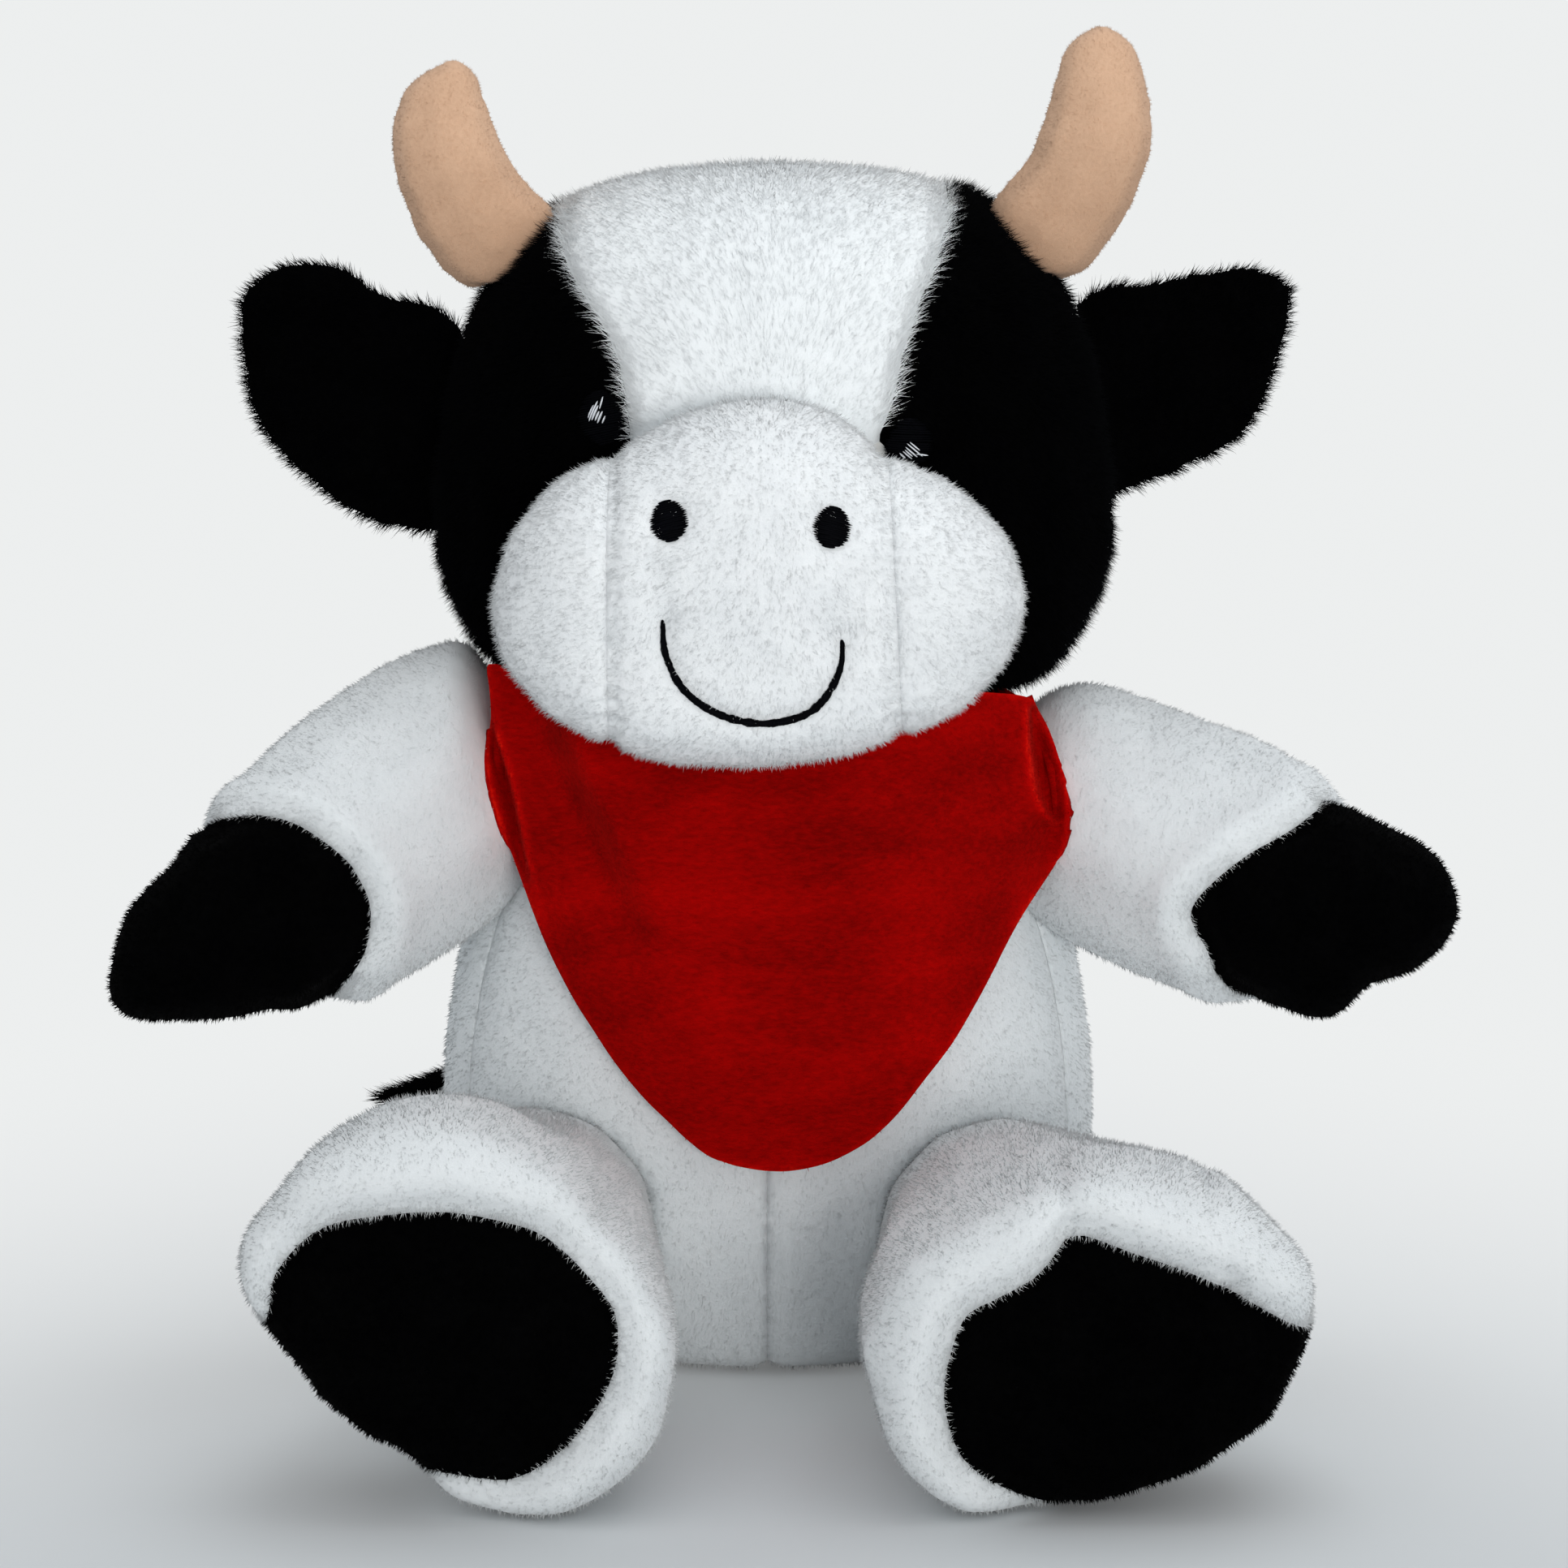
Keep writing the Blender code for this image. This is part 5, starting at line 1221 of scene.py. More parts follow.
for side, sign in (("left", 1), ("right", -1)):
    leg = legs[side]
    rounded_up(leg)
    fitted(leg, smoothstep(-points_of(leg)[:, 1], 0.060, 0.092), LEG_OUTLINES[side], 1.0, 0.0008)
    set_points(leg, evened(points_of(leg), edges_of(leg), 3))
    sole_field = in_sole(side)
    co = points_of(leg)
    near = sole_field(co)
    front = smoothstep(-co[:, 1], 0.085, 0.112)
    roll = np.exp(-(((-near) - 0.0055) / 0.0055) ** 2) * (near < 0.003)
    dip = valley(near, 0.0026) * 0.0022
    push = np.zeros_like(co)
    push[:, 1] = -front * (roll * 0.0026 - dip)
    co = co + push + normals_of(leg) * (front * roll * 0.0014)[:, None]
    co[:, 2] = np.maximum(co[:, 2], 0.0004)
    set_points(leg, co)
    if side == "left":
        flat = co * np.array([1.0, 0.0, 1.0])
        lines = [near_line(flat, [(x, 0.0, z) for x, z in line]) for line in LEG_SEAMS]
        sink(leg, 0.0011 * smoothstep(-co[:, 1], 0.075, 0.095) * sum(valley(line, 0.0016) for line in lines))
    core(leg, f"leg_fibre_{side}", f"leg_{side}", f"leg_filling_{side}")
    foot = panel(leg, f"leg_plush_{side}", lambda co: -sole_field(co))
    coat = dict(SHORT, flow=(0, -0.5, -0.5), density=1.5, width=0.00023)
    over = crossing(coat, sole_field, 0.0022, length=0.0013, flow=towards((sign * 0.053, -0.115, 0.027)),
        lean=0.5)
    plush(foot, white_plush, [coat, over], centre=(sign * 0.05, -0.085, 0.027), pole=(0, 1, 0), keep=0.35)
    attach(foot, f"leg_{side}")
    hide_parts(f"leg_sleeve_{side}")
    sole = panel(leg, f"sole_plush_{side}", sole_field)
    coat = dict(TINY, flow=(sign * 0.4, -0.3, -0.8))
    plush(sole, black_short, [coat, crossing(coat, sole_field, 0.0014, lean=0.2)],
        centre=(sign * 0.05, -0.09, 0.027))
    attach(sole, f"leg_{side}")
    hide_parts(f"sole_{side}")

# %% [markdown]
# ## Horns, ears and tail
# The horns are velour, a pile so short that only their edge looks soft. The ears are two layers of black fur,
# turned a little forwards and creased where they fold. The tail ends in a black tuft.

# %% Level by level between two edges in the photo
def between_edges(obj, low_pixels, high_pixels, tip_pixel, fade=0.010):
    """Moves each level of an upright form sideways,
    so that it fills the space between its two edges in the photo."""
    co = points_of(obj)
    y = co[:, 1].mean()
    foot, top = co[:, 2].min(), on_plane(*tip_pixel, y).z
    co[:, 2] = foot + (co[:, 2] - foot) * (top - foot) / (co[:, 2].max() - foot)
    levels = np.linspace(foot + 0.001, top - 0.0006, 36)
    rows = [co[np.abs(co[:, 2] - z) < 0.0010, 0] for z in levels]
    have = np.array([(row.min(), row.max()) for row in rows]).T
    moves = []
    for side, pixels in zip(have, (low_pixels, high_pixels)):
        edge = np.array([on_plane(*pixel, y) for pixel in pixels])
        edge = edge[np.argsort(edge[:, 2])]
        move = np.interp(levels, edge[:, 2], edge[:, 0]) - side
        first = int(np.argmax(levels > edge[0, 2]))
        move[:first] = move[first] * smoothstep(levels[:first], edge[0, 2] - fade, edge[0, 2])
        moves.append(np.convolve(np.pad(move, 1, mode="edge"), (0.25, 0.5, 0.25), "valid"))
    low, high, low_move, high_move = (np.interp(co[:, 2], levels, line) for line in (*have, *moves))
    share = np.clip((co[:, 0] - low) / np.maximum(high - low, 1e-5), 0, 1)
    co[:, 0] += low_move + (high_move - low_move) * share
    set_points(obj, evened(co, edges_of(obj), 8))
    print(obj.name, "moved sideways by up to", round(float(np.abs(moves).max()) * 1000, 1), "mm")


# %% Horns
HORN_PIXELS = {
    "right": (((572, 375), (543, 336), (513, 292), (499, 255), (491, 233), (485, 196), (484, 167), (485, 148),
        (491, 123), (499, 110), (507, 100), (521, 88), (541, 80)),
              ((686, 255), (671, 244), (656, 229), (638, 207), (620, 178), (605, 141), (596, 118), (591, 101),
                  (586, 90), (579, 80)), (563, 75)),
    "left": (((1218, 254), (1237, 227), (1265, 192), (1284, 149), (1296, 110), (1307, 71), (1315, 55),
        (1326, 44), (1340, 37)),
             ((1315, 355), (1338, 343), (1358, 316), (1381, 281), (1401, 242), (1416, 196), (1420, 157),
                 (1415, 112), (1406, 76), (1396, 54), (1386, 43), (1373, 36)), (1358, 33)),
}
VELOUR = dict(length=0.00045, density=3.0, lean=0.3, flow=DOWN, width=0.00022, stray=0.6, clump=0.0,
    clump_size=0.002, steps=1)
for side, sign in (("left", 1), ("right", -1)):
    horn = horns[side]
    rounded_up(horn)
    between_edges(horn, *HORN_PIXELS[side])
    core(horn, f"horn_fibre_{side}", f"horn_{side}", f"horn_filling_{side}", 0.0016)
    foot = points_of(horn)[:, 2].min()
    horn.name = f"horn_velour_{side}"
    # The fabric is painted darker towards the horn's foot: painted shade where the horn meets the head.
    plush(horn, peach_velour, [VELOUR], pole=(0, 0, -1),
        base_level=lambda co, foot=foot: 0.45 * smoothstep(co[:, 2], foot + 0.006, foot + 0.030))
    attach(horn, f"horn_{side}")
    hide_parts(f"horn_sleeve_{side}")

# %% Ears
EAR_PIXELS = {
    "right": ((556, 382), (532, 368), (505, 367), (480, 366), (455, 352), (434, 335), (407, 323), (377, 318),
        (355, 321), (335, 333), (312, 348), (299, 370), (295, 392), (295, 424), (301, 460), (312, 490),
        (328, 532), (360, 577), (390, 599), (417, 630), (438, 639), (473, 644), (502, 650), (530, 660),
        (560, 650), (590, 600), (600, 500), (585, 420)),
    "left": ((1345, 354), (1373, 349), (1405, 349), (1436, 345), (1467, 337), (1490, 337), (1529, 331),
        (1560, 337), (1580, 347), (1592, 359), (1586, 375), (1592, 402), (1582, 422), (1575, 445),
        (1563, 472), (1551, 498), (1533, 531), (1517, 551), (1486, 564), (1449, 579), (1405, 592),
        (1375, 598), (1345, 585), (1310, 520), (1305, 430), (1320, 380)),
}
for side, sign in (("left", 1), ("right", -1)):
    ear = ears[side]
    rounded_up(ear)
    co = points_of(ear)
    outline = [tuple(on_plane(*pixel, co[:, 1].mean()))[::2] for pixel in EAR_PIXELS[side]]
    fitted(ear, smoothstep(sign * co[:, 0], 0.054, 0.064), outline, 1.0, 0.0004)
    set_points(ear, evened(points_of(ear), edges_of(ear), 4))
    co = points_of(ear)
    low, high = co.min(0), co.max(0)
    u = (sign * co[:, 0] - min(sign * low[0], sign * high[0])) / (high[0] - low[0])
    v = (co[:, 2] - low[2]) / (high[2] - low[2])
    crease = np.abs((v - 0.42) - 0.35 * (u - 0.2)) * (high[2] - low[2])
    facing = normals_of(ear)[:, 1] < 0
    sink(ear, np.where(facing, 0.0016 * valley(crease, 0.004) - 0.0008 * valley(crease - 0.010, 0.006), 0))

    def ear_flow(place, sign=sign):
        flow = np.stack([np.full(len(place), sign * 0.8), np.full(len(place), -0.1),
            (place[:, 2] - 0.165) * 14.0], axis=1)
        return unit(flow)

    for half, node, keep in (("front", f"ear_front_{side}", 1), ("back", f"ear_back_{side}", -1)):
        middle_y = np.median(co[:, 1])
        piece = panel(ear, f"ear_fur_{half}_{side}",
            lambda p, keep=keep: -keep * (p[:, 1] - middle_y - 0.15 * (np.abs(p[:, 0]) - 0.07)))
        coat = dict(LONG, flow=ear_flow, length=0.0026 if half == "front" else 0.0030, lean=0.66)
        plush(piece, black_fur, [coat], thickness=0.0010, centre=(sign * 0.07, 0.002, 0.163))
        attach(piece, f"ear_{side}")
        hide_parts(node)

# %% Tail
rounded_up(tail)
tail_low, tail_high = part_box("tail_tuft")
TAIL_SPLIT_X = tail_high[0] - 0.001
co = points_of(tail)
share = np.clip((TAIL_SPLIT_X - co[:, 0]) / (TAIL_SPLIT_X - co[:, 0].min()), 0, 1)
middle = co[share > 0.2].mean(axis=0)
tip_x = on_plane(468, 1336, middle[1]).x
co[:, 0] -= share * (co[:, 0].min() - tip_x)
co[:, 1:] = middle[1:] + (co[:, 1:] - middle[1:]) * np.where(share > 0, 1 - 0.62 * share**1.5, 1)[:, None]
co[:, 2] -= 0.0012 * share
set_points(tail, evened(co, edges_of(tail), 4))


def tuft_flow(place):
    return np.tile((-0.9, 0.1, 0.1), (len(place), 1))


tube = panel(tail, "tail_plush", lambda co: co[:, 0] - TAIL_SPLIT_X)
plush(tube, white_plush, [dict(SHORT, flow=(-0.8, 0.1, 0))], thickness=0.001)
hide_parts("tail_tube")
tuft = panel(tail, "tail_fur", lambda co: TAIL_SPLIT_X - co[:, 0])
plush(tuft, black_fur, [dict(LONG, flow=tuft_flow, lean=0.8, length=0.0034, stray=0.35)], thickness=0.001)
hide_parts("tail_tuft")
for piece in (tube, tuft):
    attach(piece, "tail")

# %% [markdown]
# ## Embroidery
# The eyes, the nostrils and the mouth are sewn with thread: satin stitches side by side fill the ovals, and
# short slanted ones make the line. They could be one dark patch with a bump, but their ragged ends are what
# shows at the edge. One stitch is modelled, and every other is a copy of it, stretched and laid in its place.

# %% Thread finishes
black_thread = plush_material("black_thread", (0.0006, 0.0007, 0.0014), (0.0016, 0.0017, 0.0036), 0.3, 0.6,
    0.0, bump=0.1, specular=0.03)
white_thread = plush_material("white_thread", (0.70, 0.72, 0.76), (0.86, 0.88, 0.92), 0.2, 0.5, 0.0, bump=0.1,
    specular=0.3)

# %% One stitch, long in x
bpy.ops.object.select_all(action="DESELECT")
bpy.ops.mesh.primitive_uv_sphere_add(segments=6, ring_count=5, radius=0.5)
one_stitch = bpy.context.object
bpy.ops.object.mode_set(mode="EDIT")
bpy.ops.mesh.select_all(action="SELECT")
bpy.ops.transform.rotate(value=math.pi / 2, orient_axis="Y", center_override=(0, 0, 0))
bpy.ops.object.mode_set(mode="OBJECT")
one_stitch.data.shade_smooth()
print("stitch points reach", points_of(one_stitch).max(0).round(2))


# %% Lay stitches and join them
def sewn(name, material, body_name, node, stitches):
    """stitches are (place, along, normal, length, width, height)."""
    bpy.ops.object.select_all(action="DESELECT")
    for place, along, normal, length, width, height in stitches:
        along = (along - normal * along.dot(normal)).normalized()
        copy = bpy.data.objects.new(name, one_stitch.data.copy())
        frame_of = Matrix((along * length, normal.cross(along) * width,
            normal * height)).transposed().to_4x4()
        copy.data.transform(Matrix.Translation(place) @ frame_of)
        bpy.context.scene.collection.objects.link(copy)
        copy.select_set(True)
    bpy.context.view_layer.objects.active = copy
    bpy.ops.object.join()
    copy.name = name
    copy.data.materials.clear()
    copy.data.materials.append(material)
    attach(copy, body_name)
    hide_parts(node)
    print(name, len(stitches), "stitches")
    return copy


def satin(place, normal, half_wide, half_tall, tree, tilt=0.0, pitch=0.00036, width=0.00056, lift=0.0005,
    ragged=0.045, seed=3):
    """Stitches side by side over an oval."""
    rng = np.random.default_rng(seed)
    across = Vector((1, 0, 0))
    across = (across - normal * across.dot(normal)).normalized()
    across = Matrix.Rotation(tilt, 3, normal) @ across
    up = normal.cross(across)
    rows = int(2 * half_tall / pitch)
    stitches = []
    for k in range(rows):
        v = (k + 0.5) * 2 / rows - 1
        half = half_wide * math.sqrt(1 - v * v) * (1 + ragged * float(rng.normal())) + 0.0002
        centre = place + up * (v * half_tall) + across * float(rng.normal()) * ragged * half_wide * 0.5
        spot, facing = tree.find_nearest(centre)[:2]
        height = lift * (1.2 - 0.5 * v * v)
        stitches.append((spot + facing * height, across, facing, 2.1 * half, width, 0.0009))
    return stitches


# %% Eyes, nostrils and smile
muzzle_tree = tree_of(muzzle)
for side, tilt in (("left", -0.15), ("right", 0.2)):
    place, normal = eye_places[side]
    sewn(f"eye_thread_{side}", black_thread, "head", f"eye_{side}",
        satin(place, normal, 0.0037, 0.0043, head_tree, tilt, lift=0.0009))
    place, normal = nostrils[side]
    place, normal = muzzle_tree.find_nearest(place)[:2]
    sewn(f"nostril_thread_{side}", black_thread, "head", f"nostril_{side}",
        satin(place, normal, 0.0029, 0.0035, muzzle_tree, tilt, seed=5))
GLINTS = {"right": ((740, 511), (0.0015, 0.0014), 1.15), "left": ((1119, 552), (0.0015, 0.0013), -0.75)}
for side, (pixel, (half_wide, half_tall), tilt) in GLINTS.items():
    place, normal = seen(*pixel, head_tree)
    glint = satin(place, normal, half_wide, half_tall, head_tree, tilt, 0.00042, 0.00026, 0.0017, 0.24, 8)
    thin = (seen(745, 497, head_tree), Vector((0.25, 0, 1))) if side == "right" else (
        seen(1134, 556, head_tree), Vector((1, 0, -0.2)))
    (spot, facing), along = thin
    glint.append((spot + facing * 0.0016, along, facing, 0.0022, 0.00026, 0.0005))
    sewn(f"eye_glint_{side}", white_thread, "head", f"eye_highlight_{side}", glint)

# %% The smile's slanted stitches
corners = np.array(SMILE_PIXELS, float)
corners = np.vstack([2 * corners[0] - corners[1], corners, 2 * corners[-1] - corners[-2]])
curve = []
for a, b, c, d in zip(corners, corners[1:], corners[2:], corners[3:]):
    for u in np.linspace(0, 1, 16, endpoint=False):
        curve.append(0.5 * (2 * b + (c - a) * u + (2 * a - 5 * b + 4 * c - d) * u**2
                            + (3 * b - a - 3 * c + d) * u**3))
found = [seen(*pixel, muzzle_tree) for pixel in curve]
path, faces_out = (np.array([pair[k] for pair in found]) for k in (0, 1))
for _ in range(12):
    path[1:-1] = (path[:-2] + 2 * path[1:-1] + path[2:]) / 4
for _ in range(60):
    faces_out[1:-1] = (faces_out[:-2] + 2 * faces_out[1:-1] + faces_out[2:]) / 4
steps = np.append(0.0, np.cumsum(np.linalg.norm(np.diff(path, axis=0), axis=1)))
smile_stitches = []
rng = np.random.default_rng(4)
for run in np.arange(0.0004, steps[-1] - 0.0003, 0.00055):
    spot, before, after, facing = (
        Vector([np.interp(at, steps, line[:, k]) for k in range(3)])
        for at, line in ((run, path), (run - 0.0006, path), (run + 0.0006, path), (run, faces_out))
    )
    slant = Matrix.Rotation(0.12 + 0.03 * float(rng.normal()), 3, facing)
    full = 0.66 + 0.34 * float(smoothstep(np.array(min(run, steps[-1] - run)), 0.0, 0.008))
    smile_stitches.append((spot + facing.normalized() * 0.0004, slant @ (after - before), facing.normalized(),
        0.0019, 0.00118 * full * (1 + 0.10 * float(rng.normal())), 0.0008 * full))
print("smile is", round(float(steps[-1]) * 1000, 1), "mm long")
sewn("smile_thread", black_thread, "head", "smile", smile_stitches)
bpy.data.objects.remove(one_stitch)

# %% [markdown]
# ## Bandana
# One soft red fleece triangle with a round tip. It goes round the neck, turns back at both sides and hangs
# over the belly. A cloth simulation would have to find these folds by luck, so the cloth is laid from given
# numbers: a fine grid takes the belly's depth, a ridge and a hollow make the fold on its right, and the grid
# is then cut along the outline that the photo shows.

# %% Outline and folds in the photo
SHEET_PIXELS = (
    (601, 819), (603, 850), (605, 880), (602, 908), (601, 935), (603, 960), (609, 989), (620, 1024),
    (632, 1056), (643, 1086), (656, 1122), (671, 1160), (688, 1196), (709, 1235), (732, 1271), (753, 1303),
    (776, 1333), (798, 1358), (821, 1380), (846, 1404), (872, 1424), (892, 1432), (913, 1438), (947, 1443),
    (981, 1442), (1022, 1432), (1063, 1411), (1088, 1391), (1111, 1367), (1138, 1332), (1160, 1304),
    (1179, 1277), (1206, 1230), (1224, 1196), (1241, 1162), (1258, 1131), (1275, 1104), (1289, 1083),
    (1302, 1062), (1311, 1040), (1315, 1014), (1315, 984), (1311, 958), (1304, 931), (1293, 900), (1281, 877),
    (1268, 860), (1230, 854), (1150, 852), (1050, 868), (945, 874), (830, 868), (730, 852), (650, 836),
    (622, 824),
)
FOLD_PIXELS = {
    "right": ((601, 800), (602, 818), (607, 860), (613, 909), (626, 949), (636, 989), (645, 1033),
        (652, 1069), (660, 1105), (674, 1160)),
    "left": ((1266, 840), (1266, 890), (1268, 926), (1272, 956), (1277, 979), (1286, 1000), (1299, 1018),
        (1322, 1040)),
}
OUTER_PIXELS = {
    "right": ((601, 800), (601, 819), (605, 880), (602, 908), (601, 935), (603, 960), (609, 989), (620, 1024),
        (632, 1056), (643, 1086), (656, 1122)),
    "left": ((1262, 845), (1268, 860), (1281, 877), (1293, 900), (1304, 931), (1311, 958), (1315, 984),
        (1315, 1014), (1311, 1040)),
}
HOLLOW_PIXELS = {"right": (880, 912, 1062, 1098), "left": (864, 884, 998, 1019)}
RIDGE = ((0.0810, -0.0193), (0.0864, -0.0213), (0.0932, -0.0239), (0.1000, -0.0265), (0.1060, -0.0295),
    (0.1121, -0.0324))
HOLLOW = ((0.0769, -0.0200), (0.0851, -0.0233), (0.0932, -0.0272), (0.1027, -0.0325), (0.1148, -0.0377))
CHEST_DEPTH = 0.0545


def seen_line(pixels):
    """A line down the photo as heights and sideways places, in the units of as_seen.
    The heights rise."""
    line = np.array([((x - 966) * PIXEL, (966 - y) * PIXEL) for x, y in pixels[::-1]])
    return line[:, 1], line[:, 0]


def behind_fold(seen_at, side):
    """How far outside a side's fold line points are, how wide the hollow is there,
    and how deep it is as a share."""
    sign = 1 if side == "left" else -1
    u, v = seen_at.T
    fold, outer = (np.interp(v, *seen_line(lines[side])) for lines in (FOLD_PIXELS, OUTER_PIXELS))
    top, full, still, low = ((966 - y) * PIXEL for y in HOLLOW_PIXELS[side])
    open_here = smoothstep(-v, -top, -full) * smoothstep(v, low, still)
    return sign * (u - fold), np.maximum(sign * (outer - fold), 0.0004), open_here


# %% Lay a grid of cloth over the chest
body_tree, head_tree = tree_of(body), tree_of(head)
arm_trees = {side: tree_of(arm) for side, arm in arms.items()}
bpy.ops.object.select_all(action="DESELECT")
bpy.ops.mesh.primitive_grid_add(x_subdivisions=190, y_subdivisions=165, size=1.0)
cloth = bpy.context.object
flat = points_of(cloth)
order = np.lexsort((flat[:, 0], flat[:, 1]))
columns = len(np.unique(flat[:, 0].round(6)))
X = (0.001 + flat[order, 0] * 0.110).reshape(-1, columns)
Z = (0.084 + flat[order, 1] * 0.098).reshape(-1, columns)
AHEAD = Vector((0, 1, 0))


def lies_on(tree, x, z):
    """How far forward a skin is at a place, or 0 beside it."""
    hit = tree.ray_cast(Vector((x, -0.2, z)), AHEAD)[0]
    return -hit.y if hit else 0.0


below = np.array([max(lies_on(body_tree, x, min(z, 0.098)), lies_on(head_tree, x, z) if z > 0.104 else 0.0)
                  for x, z in zip(X.ravel(), Z.ravel())])
below = below.reshape(X.shape)
on_arms = np.array([max(lies_on(tree, x, z) for tree in arm_trees.values()) if abs(x) > 0.035 else 0.0
                    for x, z in zip(X.ravel(), Z.ravel())])
on_arms = on_arms.reshape(X.shape)
free = (CHEST_DEPTH - 0.25 * np.clip(Z - 0.104, 0, None)) * np.sqrt(np.clip(1 - (X / 0.062) ** 2, 0, None))
depth = np.maximum(free, below + 0.0026)
for step in range(18):
    middle = depth[1:-1, 1:-1]
    depth[1:-1, 1:-1] = 0.2 * (middle + depth[:-2, 1:-1] + depth[2:, 1:-1] + depth[1:-1, :-2]
                                + depth[1:-1, 2:])
    if step < 12:
        depth = np.maximum(depth, below + 0.0020)
ridge = np.interp(Z, [r[0] for r in RIDGE], [r[1] for r in RIDGE])
hollow = np.interp(Z, [h[0] for h in HOLLOW], [h[1] for h in HOLLOW])
depth += 0.0050 * np.exp(-(((X - ridge) / 0.0045) ** 2)) * smoothstep(Z, 0.066, 0.094)
depth -= 0.0046 * np.exp(-(((X - hollow) / 0.0052) ** 2)) * smoothstep(Z, 0.062, 0.090)
depth += 0.0018 * np.exp(-((X - 0.0430) ** 2 + (Z - 0.0965) ** 2) / 0.0085**2)
depth += 0.0007 * np.sin(X * 150 + Z * 60) * smoothstep(-Z, -0.085, -0.055)
seen_at = as_seen(np.stack([X.ravel(), -depth.ravel(), Z.ravel()], axis=1))
for side in ("right", "left"):
    beyond, width, open_here = (part.reshape(X.shape) for part in behind_fold(seen_at, side))
    rolled = np.exp(-((np.minimum(beyond, 0) / 0.0035) ** 2)) * 0.0016
    rise = 0.60 * smoothstep(width, 0.0030, 0.0046)
    sunk = smoothstep(beyond, 0.0, 0.0011) * (1 - rise * smoothstep(beyond / width, 0.35, 1.0)) * 0.0080
    depth += (rolled * (beyond < 0.0011) - sunk) * open_here
lift = np.maximum(np.maximum(below, on_arms) + 0.0016 - depth, 0)
for _ in range(6):
    around = lift.copy()
    around[1:-1, 1:-1] = (lift[1:-1, 1:-1] + lift[:-2, 1:-1] + lift[2:, 1:-1] + lift[1:-1, :-2]
                              + lift[1:-1, 2:]) / 5
    lift = np.maximum(lift, around)
depth += lift
laid = np.empty_like(flat)
laid[order] = np.stack([X.ravel(), -depth.ravel(), Z.ravel()], axis=1)
set_points(cloth, laid)
print("cloth lies from", depth.min().round(3), "to", depth.max().round(3), "m in front of the middle")

# %% Cut the outline
sheet_loop = flat_loop(SHEET_PIXELS, 330)
drape = panel(cloth, "bandana_drape", lambda co: inside_loop(sheet_loop, *as_seen(co).T))
bpy.data.objects.remove(cloth)


# %% [markdown]
# At both sides the cloth folds back to go round the neck. The hollow behind the fold is in shade, so the fold
# shows as a bright edge, which a painted highlight in the fleece's colour makes brighter. Behind the rim a
# strip of the same cloth goes back to the neck.


# %% The sides that turn back
def turned_side(name, side, shares):
    """A strip from just behind the rim back to the neck."""
    sign = 1 if side == "left" else -1
    tree = tree_of(drape)
    v, u = seen_line(OUTER_PIXELS[side])
    heights = (966 - np.array(shares)) * PIXEL
    places = []
    for height in heights:
        px, py = np.interp(height, v, u) / PIXEL + 966 - sign * 6, 966 - height / PIXEL
        places.append(seen(px, py, tree)[0])
    places = np.array(places)
    for k in range(3):
        places[:, k] = np.polyval(np.polyfit(heights, places[:, k], 4), heights)
    grid = []
    for place in places:
        course = [place + (0, 0.0010, 0), place + (-sign * 0.0006, 0.0060, 0),
            place * (0.93, 1, 1) + (0, 0.0150, 0.0006), place * (0.80, 1, 1) + (0, 0.0270, 0.0012)]
        grid.append(np.stack([np.interp(np.linspace(0, 1, 10), (0, 0.25, 0.6, 1),
            [p[k] for p in course]) for k in range(3)], axis=1))
    faces = [(i * 10 + j, i * 10 + j + 1, (i + 1) * 10 + j + 1, (i + 1) * 10 + j)
             for i in range(len(grid) - 1) for j in range(9)]
    mesh = bpy.data.meshes.new(name)
    mesh.from_pydata([tuple(p) for row in grid for p in row], [], faces)
    strip = bpy.data.objects.new(name, mesh)
    bpy.context.scene.collection.objects.link(strip)
    rounded_up(strip)
    if normals_of(strip)[:, 0].mean() * sign < 0:
        mesh.flip_normals()
    return strip


strips = [turned_side("turned_right", "right", np.linspace(830, 1100, 20)),
    turned_side("turned_left", "left", np.linspace(872, 1036, 14))]


def cloth_area(obj):
    obj.data.calc_loop_triangles()
    return sum(t.area for t in obj.data.loop_triangles)


only(drape)
for strip in strips:
    strip.select_set(True)
bpy.ops.object.join()
print("drape's cloth", round(cloth_area(drape) * 1e6), "square mm")

# %% Fleece: a short felted nap on a knit, with painted highlights where it is folded or cut
# The last, brightest stop colours the fibres' tips and the painted highlights along the folds and the cut
# edge.
red_fleece = plush_material("red_fleece", (0.160, 0.0005, 0.0003), (0.430, 0.0010, 0.0007), 0.20, 0.95, 0.05,
    (1.0, 0.10, 0.05), 0.6, 1500.0, 0.02,
                            0.35, ((1.0, (0.62, 0.006, 0.002)),))
FLEECE = dict(length=0.00065, density=2.2, lean=0.55, flow=DOWN, width=0.00017, stray=0.9, clump=0.0,
    clump_size=0.002, steps=1)


def fleece_painted_highlight(co):
    """How light the cloth is: painted highlights along the folds at both sides and along the cut edge."""
    at = as_seen(co)
    light = 0.5 * np.exp(-((inside_loop(sheet_loop, *at.T) / 0.0006) ** 2))
    for side in ("right", "left"):
        beyond, width, open_here = behind_fold(at, side)
        light = np.maximum(light, 0.55 * np.exp(-(((beyond + 0.0002) / 0.0007) ** 2)) * (
            0.4 + 0.6 * open_here))
    return 0.35 + light


plush(drape, red_fleece, [FLEECE], 0.0016, (0, 0, 0.085), keep=0.7, base_level=fleece_painted_highlight)
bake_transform(drape)
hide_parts("bandana_flap")

# %% [markdown]
# Round the neck the cloth is a narrow gathered band, and it spreads over the chest below the chin.

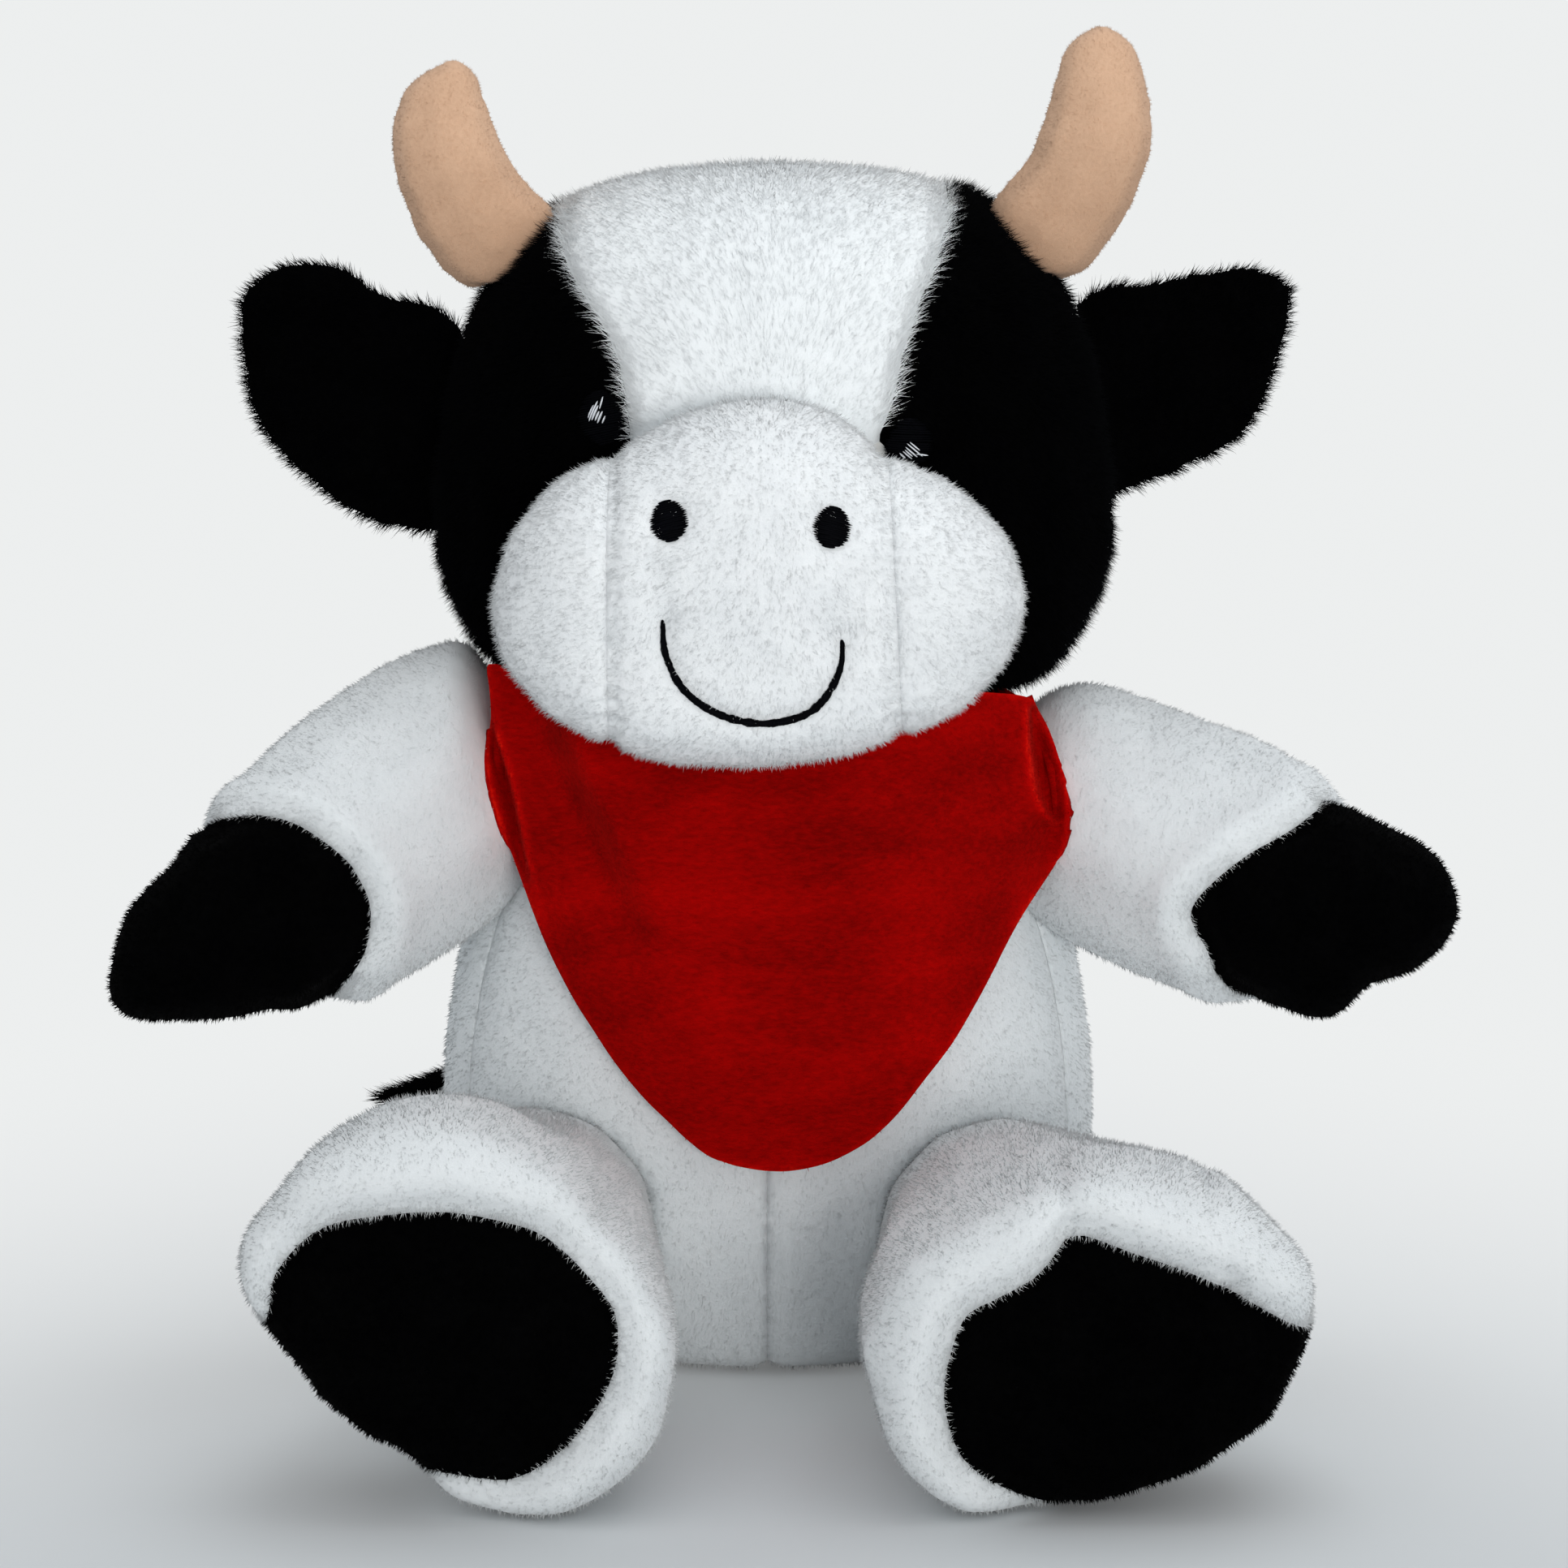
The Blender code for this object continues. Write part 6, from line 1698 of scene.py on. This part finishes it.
# %% The band round the neck
NECK_Y, NECK_CLOTH_RADIUS, COLLAR_TURNS = -0.0040, 0.0285, 132
turn = np.linspace(0, 2 * math.pi, COLLAR_TURNS, endpoint=False)
forward, across = np.cos(turn), np.sin(turn)
spread = 1 - smoothstep(np.abs(np.degrees(np.arctan2(across, forward))), 58, 80)
reach = 0.90 / np.hypot(across / 0.060, np.maximum(forward, 0.001) / 0.0474)
outer = NECK_CLOTH_RADIUS + 0.0024 + spread * (reach - NECK_CLOTH_RADIUS - 0.0024)
rim = 0.1148 + spread * (0.1105 - 0.1148)
low = 0.1040 + spread * (0.1046 - 0.1040)
band = []
for t in np.linspace(0, 1, 16):
    gather = 0.0007 * np.sin(turn * 19 + 2.2 * np.sin(turn * 3)) * (0.3 + t)
    radius = NECK_CLOTH_RADIUS + (outer - NECK_CLOTH_RADIUS) * t + gather * (1 - 0.6 * spread)
    height = rim + (low - rim) * t ** (1 + 0.35 * spread) + 0.0006 * np.sin(turn * 13 + 1.3)
    band += [(r * a, NECK_Y - r * f, z) for r, a, f, z in zip(radius, across, forward, height)]
faces = [(i * COLLAR_TURNS + j, i * COLLAR_TURNS + (j + 1) % COLLAR_TURNS,
    (i + 1) * COLLAR_TURNS + (j + 1) % COLLAR_TURNS, (i + 1) * COLLAR_TURNS + j)
         for i in range(15) for j in range(COLLAR_TURNS)]
mesh = bpy.data.meshes.new("bandana_band")
mesh.from_pydata(band, [], faces)
collar = bpy.data.objects.new("bandana_band", mesh)
bpy.context.scene.collection.objects.link(collar)
if normals_of(collar)[:, 2].mean() < 0:
    mesh.flip_normals()
print("band's cloth", round(cloth_area(collar) * 1e6), "square mm")
plush(collar, red_fleece, [FLEECE], 0.0016, (0, NECK_Y, 0.108), pole=(0, 0, 1), keep=1.0)
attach(collar, "torso")
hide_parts("bandana_collar")

# %% The knot behind the neck, with its two short ends
bpy.ops.object.select_all(action="DESELECT")
KNOT = Vector((0.0, 0.0325, 0.1065))
bpy.ops.mesh.primitive_uv_sphere_add(segments=24, ring_count=16, radius=0.0060, location=KNOT)
knot = bpy.context.object
knot.scale = (1.25, 0.85, 0.95)
bpy.ops.mesh.primitive_torus_add(major_radius=0.0052, minor_radius=0.0019, major_segments=28,
    minor_segments=10, location=KNOT, rotation=(0.15, math.pi / 2 - 0.3, 0))
wrap = bpy.context.object
ends = []
for sign in (1, -1):
    bpy.ops.mesh.primitive_cone_add(vertices=16, radius1=0.0056, radius2=0.0018, depth=0.015,
        location=KNOT + Vector((sign * 0.0085, 0.0022, -0.0062)),
        rotation=(-0.28, math.radians(sign * 48), 0))
    bpy.context.object.scale = (0.9, 0.36, 1.0)
    ends.append(bpy.context.object)
only(knot)
for piece in (wrap, *ends):
    piece.select_set(True)
bpy.ops.object.transform_apply(location=True, rotation=True, scale=True)
bpy.ops.object.join()
knot.name = "bandana_knot_cloth"
remesh = knot.modifiers.new("remesh", "REMESH")
remesh.mode = "VOXEL"
remesh.voxel_size = 0.00055
apply_all(knot)
set_points(knot, evened(points_of(knot), edges_of(knot), 5))
co = points_of(knot)
sink(knot, 0.0004 * np.sin(co[:, 0] * 2600 + 3 * np.sin(co[:, 2] * 420)) * smoothstep(np.abs(co[:, 0]), 0.002,
    0.005))
plush(knot, red_fleece, [FLEECE], 0.0006, keep=0.5)
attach(knot, "torso")
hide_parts("bandana_knot")

# %% [markdown]
# ## Inside
# The wads in the joints, the pellet bag and the body's and the head's filling don't show. They keep their CAD
# shape and get the finish of loose fibre and of woven bag cloth.

# %% Finishes inside
bag_cloth = plush_material("pellet_bag_cloth", (0.60, 0.60, 0.56), (0.72, 0.72, 0.68), 0.1, 0.8, 0.05)
for name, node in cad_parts.items():
    node.data.materials.clear()
    node.data.materials.append(bag_cloth if name == "pellet_bag" else fibre)

# %% Put away the skins that the panels were cut from
for skin in [body, head, muzzle, tail, *arms.values(), *legs.values(), *ears.values()]:
    bpy.data.objects.remove(skin)
